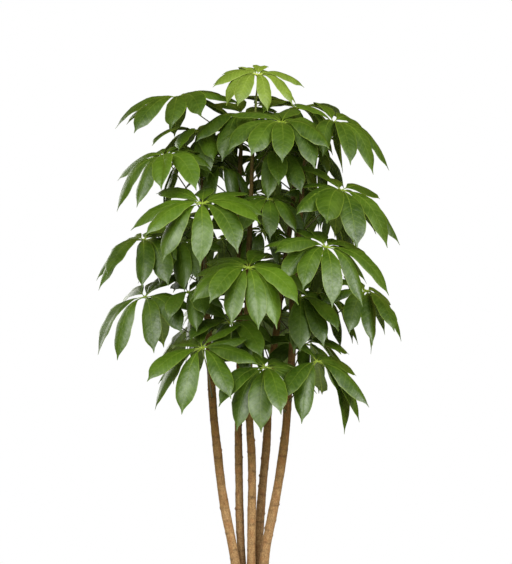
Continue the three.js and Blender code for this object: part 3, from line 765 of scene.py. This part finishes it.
def fillRings(plans, woods):
    points, owners = allSpots(plans)
    added = 0
    for own, plan in plans.items():
        tree = kdtree.KDTree(len(points))
        for index, point in enumerate(points):
            tree.insert(point, index)
        tree.balance()
        hub = plan["hub"]
        facing, first, second, size, gaps = ringOf(plan)
        for middle in gaps:
            for length, droop, shift in product(restPlan["lengths"], restPlan["droops"], restPlan["turns"]):
                angle = math.radians(middle + shift)
                away = first * math.cos(angle) + second * math.sin(angle)
                leaflet = newLeaflet(hub, facing, away, math.radians(droop), size * length)
                # the nearer side of a leaf that the photograph shows is whole as it is
                if own <= restPlan["lastSeen"] and leaflet["tip"].y < hub.y + restPlan["behind"]:
                    continue
                spots = leafletSpots(hub, leaflet)
                if isClear(spots, tree, owners, own, woods):
                    plan["leaflets"].append(leaflet)
                    points += [spot for spot, _ in spots]
                    owners += [(own, along) for _, along in spots]
                    added += 1
                    break
    return added


# one leaflet, modelled flat once: x across, y along, z up, in half widths and lengths

leafletPlan = {
    "columns": 4,
    # along from hub to tip, and the share of the full width there
    "outline": [(0.090, 0.05), (0.130, 0.14), (0.195, 0.35), (0.280, 0.58), (0.365, 0.78), (0.450, 0.92),
                (0.530, 0.985), (0.610, 1.0), (0.690, 0.98), (0.762, 0.91), (0.825, 0.77), (0.876, 0.57),
                (0.915, 0.33), (0.948, 0.13), (1.0, 0.02)],
    "archRise": 0.10, "edgeRise": -0.08, "thickness": 0.0007, "proud": 0.0006,
    # waves along the margins, in half widths, and how many there are; lag sets the two sides apart
    "wave": 0.05, "waveRange": (0.4, 1.3), "waves": 3.2, "lag": 1.3, "crimp": 0.018, "crimps": 8.5,
    "crimpPhase": 3, "fullTurn": 6.28, "ragged": 0.035,
    # the bends (radians, the sickle in half widths, the hang in metres) and where along the blade they grow
    "fold": (0.04, 0.46), "folded": (0.16, 0.5), "cupped": 0.3, "cup": -0.5, "archRange": (0.75, 1.25),
    "twist": 0.32, "twisted": (0.3, 1.0), "sickle": 0.10, "bowed": (0.16, 0.6), "bowedBack": (0.6, 1.05),
    "tipHang": 0.006, "hanging": (0.82, 1.0), "bare": (-0.005, 0.036), "bareTo": 0.5,
    "level": 0.22, "narrow": (0.92, 1.06), "toneShare": 0.5,
    # how wild, how wide and how raised a blade is at each try to settle it
    "tries": ((1.0, 1.0, 0.0), (0.6, 0.96, 0.0), (0.0, 0.92, 0.0), (0.0, 0.90, 0.006), (0.0, 0.90, -0.006),
              (0.0, 0.84, 0.011), (0.0, 0.84, -0.011), (0.0, 0.78, 0.016), (0.0, 0.78, -0.016),
              (0.0, 0.72, 0.024), (0.0, 0.72, -0.024)),
    "hubRoom": 0.0075, "stalkRoom": 0.0032,
}
leafletBase = leafletPlan["outline"][0][0]


def rowsOf(shape, across):
    shape.verts.ensure_lookup_table()
    return [[shape.verts[start + c] for c in range(across)] for start in range(0, len(shape.verts), across)]


def modelLeaflet():
    rows, columns = leafletPlan["outline"], leafletPlan["columns"]
    across = columns + 1
    deselectAll()
    bpy.ops.mesh.primitive_grid_add(x_subdivisions=columns, y_subdivisions=len(rows) - 1, size=2)
    blank = bpy.context.object
    blank.name = "leafletBlank"
    bpy.ops.object.mode_set(mode="EDIT")
    shape = bmesh.from_edit_mesh(blank.data)
    rowCorners = rowsOf(shape, across)
    for row, (along, width) in enumerate(rows):
        bpy.ops.mesh.select_all(action="DESELECT")
        for v in rowCorners[row]:
            v.select = True
        shape.select_flush(True)
        now = rowCorners[row][0].co.y
        bpy.ops.transform.translate(value=(0, along - now, 0))
        bpy.ops.transform.resize(value=(width, 1, 1), center_override=(0, along, 0))
        shape = bmesh.from_edit_mesh(blank.data)
        rowCorners = rowsOf(shape, across)
    # the two halves arch up from the sunk midrib
    for column, rise in ((1, "archRise"), (3, "archRise"), (0, "edgeRise"), (4, "edgeRise")):
        for row, (along, width) in enumerate(rows):
            rowCorners[row][column].co.z = leafletPlan[rise] * width
    bmesh.update_edit_mesh(blank.data)
    bpy.ops.mesh.select_all(action="DESELECT")
    bpy.ops.object.mode_set(mode="OBJECT")
    chart = blank.data.uv_layers["UVMap"]
    for loop in blank.data.loops:
        corner = blank.data.vertices[loop.vertex_index].co
        chart.data[loop.index].uv = (0.5 + corner.x / 2, (corner.y - leafletBase) / (1 - leafletBase))
    setAttribute(blank.data, "edge", [float(i % across in (0, columns)) for i in range(len(rows) * across)])
    return blank


def drawBends(dice, wild):
    # what chance decides about a blade, in this order
    plan = leafletPlan
    return {
        "half": dice.uniform(*plan["narrow"]),
        "phase": dice.uniform(0, plan["fullTurn"]),
        "wave": plan["wave"] * dice.uniform(*plan["waveRange"]),
        "twist": dice.uniform(-1, 1) * plan["twist"] * wild,
        "sickle": dice.uniform(-1, 1) * plan["sickle"] * wild,
        # most blades fold down along the midrib like a roof, and some cup upwards
        "fold": dice.uniform(*plan["fold"]) * (plan["cup"] if dice.random() < plan["cupped"] else 1),
        "arch": dice.uniform(*plan["archRange"]),
        "bare": dice.uniform(*plan["bare"]),
    }


def levelled(leaflet, run, wild):
    # the blade turns its face a little more to the sky than its solid does
    level = run.cross(Vector((0, 0, 1))).normalized()
    if level.dot(leaflet["side"]) < 0:
        level.negate()
    side = leaflet["side"].lerp(level, leafletPlan["level"] * wild)
    return (side - run * (side.dot(run) / run.length_squared)).normalized()


def bendLeaflet(blank, hub, leaflet, dice, leafTone, wild, narrow, raised):
    plan = leafletPlan
    copy = blank.copy()
    copy.data = blank.data.copy()
    bpy.context.collection.objects.link(copy)
    plainLine = leafletLine(hub, leaflet)
    run = leaflet["tip"] - hub
    side = levelled(leaflet, run, wild)
    over = side.cross(run).normalized()

    def line(along):
        return plainLine(along) + over * (raised * math.sin(math.pi * along))

    bends = drawBends(dice, wild)
    half, phase = leaflet["half"] * bends["half"] * narrow, bends["phase"]
    for v in copy.data.vertices:
        x, along, z = v.co
        along += bends["bare"] * (1 - smoothStep(leafletBase, plan["bareTo"], along))
        x *= 1 + plan["ragged"] * dice.uniform(-1, 1)
        folded = bends["fold"] * smoothStep(*plan["folded"], along)
        z -= abs(x) * math.sin(folded)
        x *= math.cos(folded)
        up = side.cross(headingOf(line, along)).normalized()
        turn = bends["twist"] * smoothStep(*plan["twisted"], along)
        outward = side * math.cos(turn) + up * math.sin(turn)
        lift = up * math.cos(turn) - side * math.sin(turn)
        lag = plan["lag"] if x > 0 else 0
        ripple = bends["wave"] * x * x * math.sin(plan["waves"] * plan["fullTurn"] * along + phase + lag)
        crimps = math.sin(plan["crimps"] * plan["fullTurn"] * along + phase * plan["crimpPhase"])
        ripple += plan["crimp"] * abs(x) ** 3 * crimps
        bow = smoothStep(*plan["bowed"], along) - 2 * smoothStep(*plan["bowedBack"], along)
        rise = half * (z * bends["arch"] + ripple) + plan["proud"]
        v.co = line(along) + outward * ((x + bends["sickle"] * bow) * half) + lift * rise
        v.co.z -= plan["tipHang"] * smoothStep(*plan["hanging"], along) ** 2
    tone = mixed(leafTone, dice.random(), plan["toneShare"])
    setAttribute(copy.data, "tone", [tone] * len(copy.data.vertices))
    return copy, line, side


# settling the blades among each other

settled = []  # of each finished piece: its node, its middle, how far it reaches, and its faces


def treeOf(corners, faces):
    return BVHTree.FromPolygons(list(corners), list(faces))


def stalkTree(plan):
    # a plain square tube round a leaf's hub and stalk
    knots = [plan["hub"], *plan["stalk"]]
    knots.insert(0, knots[0] + (knots[0] - knots[1]).normalized() * leafletPlan["hubRoom"])
    corners, faces = [], []
    for i, knot in enumerate(knots):
        run = knots[min(i + 1, len(knots) - 1)] - knots[max(i - 1, 0)]
        side = run.orthogonal().normalized()
        over = run.cross(side).normalized()
        radius = leafletPlan["hubRoom"] if i < 2 else leafletPlan["stalkRoom"]
        corners += [knot + way * radius for way in (side, over, -side, -over)]
        if i:
            low, high = 4 * (i - 1), 4 * i
            faces += [(low + k, low + (k + 1) % 4, high + (k + 1) % 4, high + k) for k in range(4)]
    return treeOf(corners, faces)


def settleLeaflet(blank, node, hub, leaflet, dice, leafTone):
    # a blade that would cut another leaf or a stem is bent again, calmer, narrower or raised
    best = None
    middle = leaflet["centres"][1]
    reach = (leaflet["tip"] - hub).length
    near = [tree for owner, place, far, tree in settled
            if owner != node and (place - middle).length < far + reach]
    for wild, narrow, raised in leafletPlan["tries"]:
        blade, line, side = bendLeaflet(blank, hub, leaflet, dice, leafTone, wild, narrow, raised)
        tree = treeOf((v.co for v in blade.data.vertices), (f.vertices for f in blade.data.polygons))
        cuts = sum(len(tree.overlap(other)) for other in near)
        if best is None or cuts < best[0]:
            if best:
                bpy.data.objects.remove(best[1])
            best = cuts, blade, line, side, tree
        else:
            bpy.data.objects.remove(blade)
        if not cuts:
            break
    _, blade, line, side, tree = best
    settled.append((node, middle, reach, tree))
    return blade, line, side


# a whole leaf: its blades, the ribs under them, the hub and the stalk

leafPlan = {
    "ribStops": [0, 0.03, 0.08, 0.16, 0.24, 0.34, 0.46, 0.58, 0.70, 0.82, 0.90],
    "ribRadii": [0.0022, 0.0019, 0.0013, 0.0012, 0.0013, 0.0012, 0.0010, 0.0008, 0.0006, 0.0005, 0.0003],
    "ribSink": 1.05, "ribSinkOver": 0.10, "ribSides": 6, "smoothAngle": 50,
    "stalkSteps": 16, "stalkSides": 8, "stalkRadius": 0.0018, "stalkTaper": (0.95, 1.12),
    "neckLong": 0.02, "neckWide": 1.3, "stalkFoot": 0.0032, "footFrom": 0.03, "footTo": 0.004,
    "stalkInWood": 0.006, "hubRadius": 0.0058, "hubFlat": 0.72, "young": "leaf_15",
}


def ribUnder(line, side):
    # under the blade, so that only a painted line shows it from above
    rib = []
    for stop, radius in zip(leafPlan["ribStops"], leafPlan["ribRadii"]):
        up = side.cross(headingOf(line, stop)).normalized()
        sink = leafPlan["ribSink"] * smoothStep(leafletBase, leafletBase + leafPlan["ribSinkOver"], stop)
        rib.append((line(stop) - up * (radius * sink), radius))
    return rib


def modelStalk(plan):
    # from the hub down to the wood, and a little way into it
    hub = plan["hub"]
    knots = [hub, *plan["stalk"]]
    knots.append(knots[-1] + (knots[-1] - knots[-2]).normalized() * leafPlan["stalkInWood"])
    stops = distancesAlong(knots)
    line, length, steps = curveThrough(stops, knots), stops[-1], leafPlan["stalkSteps"]
    rings = []
    for i in range(steps + 1):
        part = i / steps
        down = length * part
        radius = leafPlan["stalkRadius"] * mixed(*leafPlan["stalkTaper"], part)
        foot = smoothStep(length - leafPlan["footFrom"], length - leafPlan["footTo"], down)
        radius = mixed(radius, leafPlan["stalkFoot"], foot)
        neck = 1 - smoothStep(0, leafPlan["neckLong"], down)
        radius = mixed(radius, leafPlan["stalkRadius"] * leafPlan["neckWide"], neck)
        rings.append((line(down), radius))
    stalk = tubeFromLines("stalk", [rings], leafPlan["stalkSides"])
    setAttribute(stalk.data, "tone", [min((v.co - hub).length / length, 1.0) for v in stalk.data.vertices])
    return stalk


def modelHub(hub):
    deselectAll()
    bpy.ops.mesh.primitive_ico_sphere_add(subdivisions=2, radius=leafPlan["hubRadius"], location=(0, 0, 0))
    knob = bpy.context.object
    for v in knob.data.vertices:
        v.co = Vector((v.co.x, v.co.y, v.co.z * leafPlan["hubFlat"])) + hub
    setAttribute(knob.data, "tone", [0.0] * len(knob.data.vertices))
    return knob


def dressLeaf(node, plan, blank, skins):
    top, under, stalkSkin = skins
    hub, dice = plan["hub"], random.Random(node)
    blades, ribs, leafTone = [], [], dice.random()
    for leaflet in plan["leaflets"]:
        blade, line, side = settleLeaflet(blank, node, hub, leaflet, dice, leafTone)
        blades.append(blade)
        ribs.append(ribUnder(line, side))
    blades = joined("blades", blades)
    blades.data.materials.clear()
    blades.data.materials.append(top)
    blades.data.materials.append(under)
    applyModifier(blades, "SOLIDIFY", thickness=leafletPlan["thickness"], offset=-1,
                  material_offset=1, material_offset_rim=1)
    shadeSmooth(blades, leafPlan["smoothAngle"])
    ribs = tubeFromLines("ribs", ribs, leafPlan["ribSides"])
    setAttribute(ribs.data, "tone", [0.0] * len(ribs.data.vertices))
    stalk, knob = modelStalk(plan), modelHub(hub)
    for part in (ribs, stalk, knob):
        part.data.materials.clear()
        part.data.materials.append(stalkSkin)
        shadeSmooth(part)
    piece = joined("umbrella" + node.replace("_", "").capitalize(), [blades, ribs, stalk, knob])
    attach(piece, "root")
    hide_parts(node)
    return piece


leafletBlank = modelLeaflet()
trunkNodes = sorted(name for name in nodes if name.startswith("stem_"))
leafPlans = {name: readLeaf(name) for name in sorted(nodes) if name.startswith("leaf_")}
print("leaflets added:", fillRings(leafPlans, [woodAt(node) for node in trunkNodes]))
# stalks and trunks are in the way before the first blade is bent
for node, plan in leafPlans.items():
    reach = max((knot - plan["hub"]).length for knot in plan["stalk"])
    settled.append((node, plan["hub"], reach, stalkTree(plan)))
for node in trunkNodes:
    trunk = nodes[node].data
    tree = treeOf((v.co for v in trunk.vertices), (f.vertices for f in trunk.polygons))
    settled.append((node, Vector((0, 0, 1)), 1.0, tree))
for node, plan in leafPlans.items():
    young = node == leafPlan["young"]
    piece = dressLeaf(node, plan, leafletBlank, youngSkins if young else leafSkins)
bpy.data.objects.remove(leafletBlank)
print("leaves are dressed:", len(leafPlans))


# trunks: a grid rolled round the stem's line, with leaf scars in a spiral

trunkPlan = {
    "around": 32, "ringStep": 0.0036, "merge": 2e-5, "smoothAngle": 55, "thinnest": 0.001, "seed": 40,
    # where the scars sit along the stem and round it, in metres and degrees, and how large they are
    "firstScar": (0.02, 0.05), "scarStep": 0.027, "scarJitter": 0.010, "scarTurn": 137.5, "turnJitter": 25,
    "bareTop": 0.01, "scarSizes": (0.45, 1.25), "youngFrom": (1.2, 1.55), "youngScar": 0.3, "scarNear": 0.015,
    # a scar's own form, lengths in metres and turns in radians, and how dark its parts are
    "scarHigh": 0.0024, "scarReach": 1.05, "scarFade": 0.6, "scarSag": 0.003, "sagReach": 1.5,
    "scarRise": 0.0005, "knobTurn": 0.95, "knobWide": 0.24, "knobHigh": 0.0032, "knobRise": 0.0026,
    "ringRise": 0.00022, "scarMark": 0.62, "knobMark": 0.95, "ringMark": 0.10,
    # the bark's relief: its height, how fine it is along and round, and the noise's own settings
    "relief": 0.0007, "reliefAlong": 90, "reliefRound": 1.6, "reliefHigh": 0.7, "reliefShift": 50,
    "reliefNoise": (1.0, 2.1, 4),
}


def scarAt(scars, along, angle):
    # how far the scars lift the wood here, and how dark they make it
    plan, rise, mark = trunkPlan, 0.0, 0.0
    for place, turned, size, hand in scars:
        lift = along - place
        swing = (angle - turned + math.pi) % math.tau - math.pi
        # the leaf's scar is a crescent that sags in its middle, with a corky knob at one end
        sag = lift + plan["scarSag"] * math.cos(min(abs(swing), plan["sagReach"]))
        reach = 1 - smoothStep(plan["scarReach"] * plan["scarFade"], plan["scarReach"], abs(swing))
        crescent = math.exp(-(sag / plan["scarHigh"]) ** 2) * reach * size
        ring = math.exp(-(lift / plan["scarHigh"]) ** 2)
        aside = (swing - hand * plan["knobTurn"]) / plan["knobWide"]
        knob = math.exp(-(lift / plan["knobHigh"]) ** 2 - aside * aside) * size
        rise += crescent * plan["scarRise"] + knob * plan["knobRise"] + ring * plan["ringRise"]
        marks = crescent * plan["scarMark"], knob * plan["knobMark"]
        mark = max(mark, *(min(part, 1.0) for part in marks), ring * plan["ringMark"])
    return rise, mark


def drawScars(line, length, dice):
    # up the stem in a loose spiral, smaller on the young wood
    plan = trunkPlan
    scars, where, turn = [], dice.uniform(*plan["firstScar"]), dice.uniform(0, 360)
    while where < length - plan["bareTop"]:
        aged = mixed(1.0, plan["youngScar"], smoothStep(*plan["youngFrom"], line(where).z))
        size = dice.uniform(*plan["scarSizes"]) * aged
        scars.append((where, math.radians(turn), size, dice.choice((-1, 1))))
        where += plan["scarStep"] + dice.uniform(-1, 1) * plan["scarJitter"]
        turn += plan["scarTurn"] + dice.uniform(-plan["turnJitter"], plan["turnJitter"])
    return scars


def closeTube(tube, gap):
    # the rolled grid's two sides are merged, and its open ends are capped
    activate(tube)
    bpy.ops.object.mode_set(mode="EDIT")
    bpy.ops.mesh.select_all(action="SELECT")
    bpy.ops.mesh.remove_doubles(threshold=gap)
    bpy.ops.mesh.select_all(action="DESELECT")
    bpy.ops.mesh.select_non_manifold(extend=False, use_wire=False, use_multi_face=False,
                                     use_non_contiguous=False, use_verts=False)
    bpy.ops.mesh.edge_face_add()
    bpy.ops.mesh.select_all(action="DESELECT")
    bpy.ops.object.mode_set(mode="OBJECT")
    closeAndFaceOut(tube)


def dressTrunk(node, dice):
    plan = trunkPlan
    centres, radii = readTrunk(node)
    stops = distancesAlong(centres)
    line, width, length = curveThrough(stops, centres), curveThrough(stops, radii), stops[-1]
    scars = drawScars(line, length, dice)
    deselectAll()
    bpy.ops.mesh.primitive_grid_add(
        x_subdivisions=plan["around"], y_subdivisions=round(length / plan["ringStep"]), size=1)
    trunk = bpy.context.object
    front = Vector((0, -1, 0))
    shift = dice.uniform(0, plan["reliefShift"])
    rows = {}
    for v in trunk.data.vertices:
        rows.setdefault(round(v.co.y, 6), []).append(v)
    darkness = [0.0] * len(trunk.data.vertices)
    for row in rows.values():
        along = (row[0].co.y + 0.5) * length
        centre = line(along)
        heading = headingOf(line, along, length)
        side = heading.cross(front).normalized()
        face = side.cross(heading)
        near = [scar for scar in scars if abs(scar[0] - along) < plan["scarNear"]]
        for v in row:
            angle = (v.co.x + 0.5) * math.tau
            out = side * math.sin(angle) + face * math.cos(angle)
            rise, darkness[v.index] = scarAt(near, along, angle)
            spot = centre * plan["reliefAlong"] + out * plan["reliefRound"]
            spot.z = spot.z * plan["reliefHigh"] + shift
            rough = plan["relief"] * noise.fractal(spot, *plan["reliefNoise"])
            v.co = centre + out * max(width(along) + rise + rough, plan["thinnest"])
    setAttribute(trunk.data, "scar", darkness)
    closeTube(trunk, plan["merge"])
    trunk.data.materials.append(bark)
    shadeSmooth(trunk, plan["smoothAngle"])
    trunk.name = "trunk" + node[-1]
    trunk.data.name = trunk.name
    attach(trunk, "root")
    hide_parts(node)


for index, node in enumerate(trunkNodes):
    dressTrunk(node, random.Random(trunkPlan["seed"] + index))
print("trunks are dressed")


# the pot: a profile spun about the plant's axis, with rounded edges

potPlan = {
    "steps": 96, "height": 0.230, "foot": 0.108, "rim": 0.145, "wall": 0.005, "floor": 0.006,
    "lipHigh": 0.026, "lipProud": 0.004, "merge": 2e-5, "smoothAngle": 40,
    # heights at which the walls get a ring besides their ends, the last one above the floor
    "outerRings": (0.003, 0.08, 0.15), "innerRing": 0.19, "floorRing": 0.004,
    # small steps out and up from a corner, which round it
    "footSteps": [(-0.012, 0.0035), (-0.009, 0.0005), (-0.004, 0.0), (-0.0012, 0.0008)],
    "underLipSteps": [(0.0008, -0.0004)],
    "lipSteps": [(-0.0022, 0.0), (-0.0010, 0.0012), (-0.0006, 0.010)],
    "rimSteps": [(0.0, -0.002), (-0.0008, -0.0005), (-0.0022, 0.0)],
    "innerRimSteps": [(0.0016, 0.0), (0.0004, -0.0014)],
    "floorSteps": [(-0.003, 0.0)], "lipGap": 0.002,
}


def potProfile():
    # radius and height, from the middle of the underside, up the outer wall and down the inner one
    plan = potPlan
    height, floor, wall, rim = plan["height"], plan["floor"], plan["wall"], plan["rim"]
    lipFoot = height - plan["lipHigh"]
    slope = (rim - plan["lipProud"] - plan["foot"]) / height

    def outer(z):
        return plan["foot"] + slope * z

    def rounded(steps, r, z):
        return [(r + out, z + up) for out, up in plan[steps]]

    return [
        (0.0, plan["footSteps"][0][1]), *rounded("footSteps", plan["foot"], 0.0),
        *((outer(z), z) for z in (*plan["outerRings"], lipFoot - plan["lipGap"])),
        *rounded("underLipSteps", outer(lipFoot), lipFoot), *rounded("lipSteps", rim, lipFoot),
        *rounded("rimSteps", rim, height), *rounded("innerRimSteps", outer(height) - wall, height),
        *((outer(z) - wall, z) for z in (plan["innerRing"], floor + plan["floorRing"])),
        *rounded("floorSteps", outer(floor) - wall, floor), (0.0, floor),
    ]


def dressPot():
    plan, profile = potPlan, potProfile()
    deselectAll()
    bpy.ops.mesh.primitive_circle_add(vertices=len(profile), radius=0.1, fill_type="NOTHING")
    pot = bpy.context.object
    ring = bmesh.new()
    ring.from_mesh(pot.data)
    ring.verts.ensure_lookup_table()
    # the circle is opened between its last and first points and laid on the profile
    for v, (r, z) in zip(ring.verts, profile):
        v.co = (r, 0, z)
    opening = [e for e in ring.edges if {e.verts[0].index, e.verts[1].index} == {0, len(profile) - 1}]
    bmesh.ops.delete(ring, geom=opening, context="EDGES")
    ring.to_mesh(pot.data)
    ring.free()
    activate(pot)
    bpy.ops.object.mode_set(mode="EDIT")
    bpy.ops.mesh.select_all(action="SELECT")
    bpy.ops.mesh.spin(steps=plan["steps"], angle=math.tau, center=(0, 0, 0), axis=(0, 0, 1))
    bpy.ops.object.mode_set(mode="OBJECT")
    closeAndFaceOut(pot, gap=plan["merge"])
    pot.name = pot.data.name = "growersPot"
    pot.data.materials.append(potPlastic)
    shadeSmooth(pot, plan["smoothAngle"])
    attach(pot, "root")
    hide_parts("pot")


dressPot()
print("pot is dressed")


# soil: a crumbly dome with loose crumbs on it

soilPlan = {
    "cells": 56, "radius": 0.1305, "edge": 0.1985, "dome": 0.008, "bottom": 0.0064, "smoothAngle": 40,
    # lumps: their height, how many there are to the metre, a slice of the noise and its own settings
    "rough": 0.0035, "lumps": 34, "lumpSlice": 3.1, "lumpNoise": (1.0, 2.0, 5),
    "calmFrom": 0.86, "calm": 0.6,
    "crumbs": 260, "seed": 7, "crumbSmall": 0.0016, "crumbLarge": 0.0046, "crumbFine": 2.2,
    "crumbReach": 0.97, "crumbWide": (0.7, 1.4), "crumbHigh": (0.5, 0.9), "crumbRagged": 0.22, "crumbUp": 0.3,
}


def soilLevel(x, y):
    plan = soilPlan
    away = math.hypot(x, y) / plan["radius"]
    mound = plan["dome"] * (1 - away * away)
    spot = Vector((x * plan["lumps"], y * plan["lumps"], plan["lumpSlice"]))
    rough = noise.fractal(spot, *plan["lumpNoise"]) * plan["rough"]
    return plan["edge"] + mound + rough * (1 - smoothStep(plan["calmFrom"], 1.0, away) * plan["calm"])


def modelBed():
    deselectAll()
    cells, radius = soilPlan["cells"], soilPlan["radius"]
    bpy.ops.mesh.primitive_grid_add(x_subdivisions=cells, y_subdivisions=cells, size=2)
    soil = bpy.context.object
    for v in soil.data.vertices:
        # the square grid is pressed into a circle
        x, y = v.co.x, v.co.y
        v.co.x = x * math.sqrt(1 - y * y / 2) * radius
        v.co.y = y * math.sqrt(1 - x * x / 2) * radius
        v.co.z = soilLevel(v.co.x, v.co.y)
    activate(soil)
    bpy.ops.object.mode_set(mode="EDIT")
    bpy.ops.mesh.select_all(action="DESELECT")
    bpy.ops.mesh.select_non_manifold(extend=False)
    bpy.ops.mesh.extrude_edges_move(TRANSFORM_OT_translate={"value": (0, 0, 0)})
    bpy.ops.object.mode_set(mode="OBJECT")
    # the new rim goes down to the pot's floor, where the pot is narrower
    narrow = (potPlan["foot"] - potPlan["wall"]) / radius
    for v in soil.data.vertices:
        if v.select:
            v.co = (v.co.x * narrow, v.co.y * narrow, soilPlan["bottom"])
    bpy.ops.object.mode_set(mode="EDIT")
    bpy.ops.mesh.edge_face_add()
    bpy.ops.mesh.select_all(action="DESELECT")
    bpy.ops.object.mode_set(mode="OBJECT")
    closeAndFaceOut(soil)
    return soil


def scatterCrumbs():
    plan, dice = soilPlan, random.Random(soilPlan["seed"])
    deselectAll()
    bpy.ops.mesh.primitive_ico_sphere_add(subdivisions=1, radius=1)
    blank = bpy.context.object
    crumbs = []
    for _ in range(plan["crumbs"]):
        reach = math.sqrt(dice.random()) * plan["radius"] * plan["crumbReach"]
        turn = dice.uniform(0, math.tau)
        x, y = reach * math.cos(turn), reach * math.sin(turn)
        size = mixed(plan["crumbSmall"], plan["crumbLarge"], dice.random() ** plan["crumbFine"])
        crumb = blank.copy()
        crumb.data = blank.data.copy()
        bpy.context.collection.objects.link(crumb)
        ranges = (plan["crumbWide"], plan["crumbWide"], plan["crumbHigh"])
        stretch = Vector([dice.uniform(*limits) for limits in ranges]) * size
        spin = dice.uniform(0, math.tau)
        level = soilLevel(x, y) + size * plan["crumbUp"]
        for v in crumb.data.vertices:
            rough = 1 + dice.uniform(-plan["crumbRagged"], plan["crumbRagged"])
            cx, cy, cz = [part * stretched * rough for part, stretched in zip(v.co, stretch)]
            v.co = (x + cx * math.cos(spin) - cy * math.sin(spin),
                    y + cx * math.sin(spin) + cy * math.cos(spin), level + cz)
        crumbs.append(crumb)
    bpy.data.objects.remove(blank)
    return crumbs


def dressSoil():
    soil = modelBed()
    soil = joined("soilBed", [soil, *scatterCrumbs()])
    soil.data.materials.clear()
    soil.data.materials.append(soilMix)
    shadeSmooth(soil, soilPlan["smoothAngle"])
    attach(soil, "root")
    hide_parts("soil")


dressSoil()
print("soil is dressed")
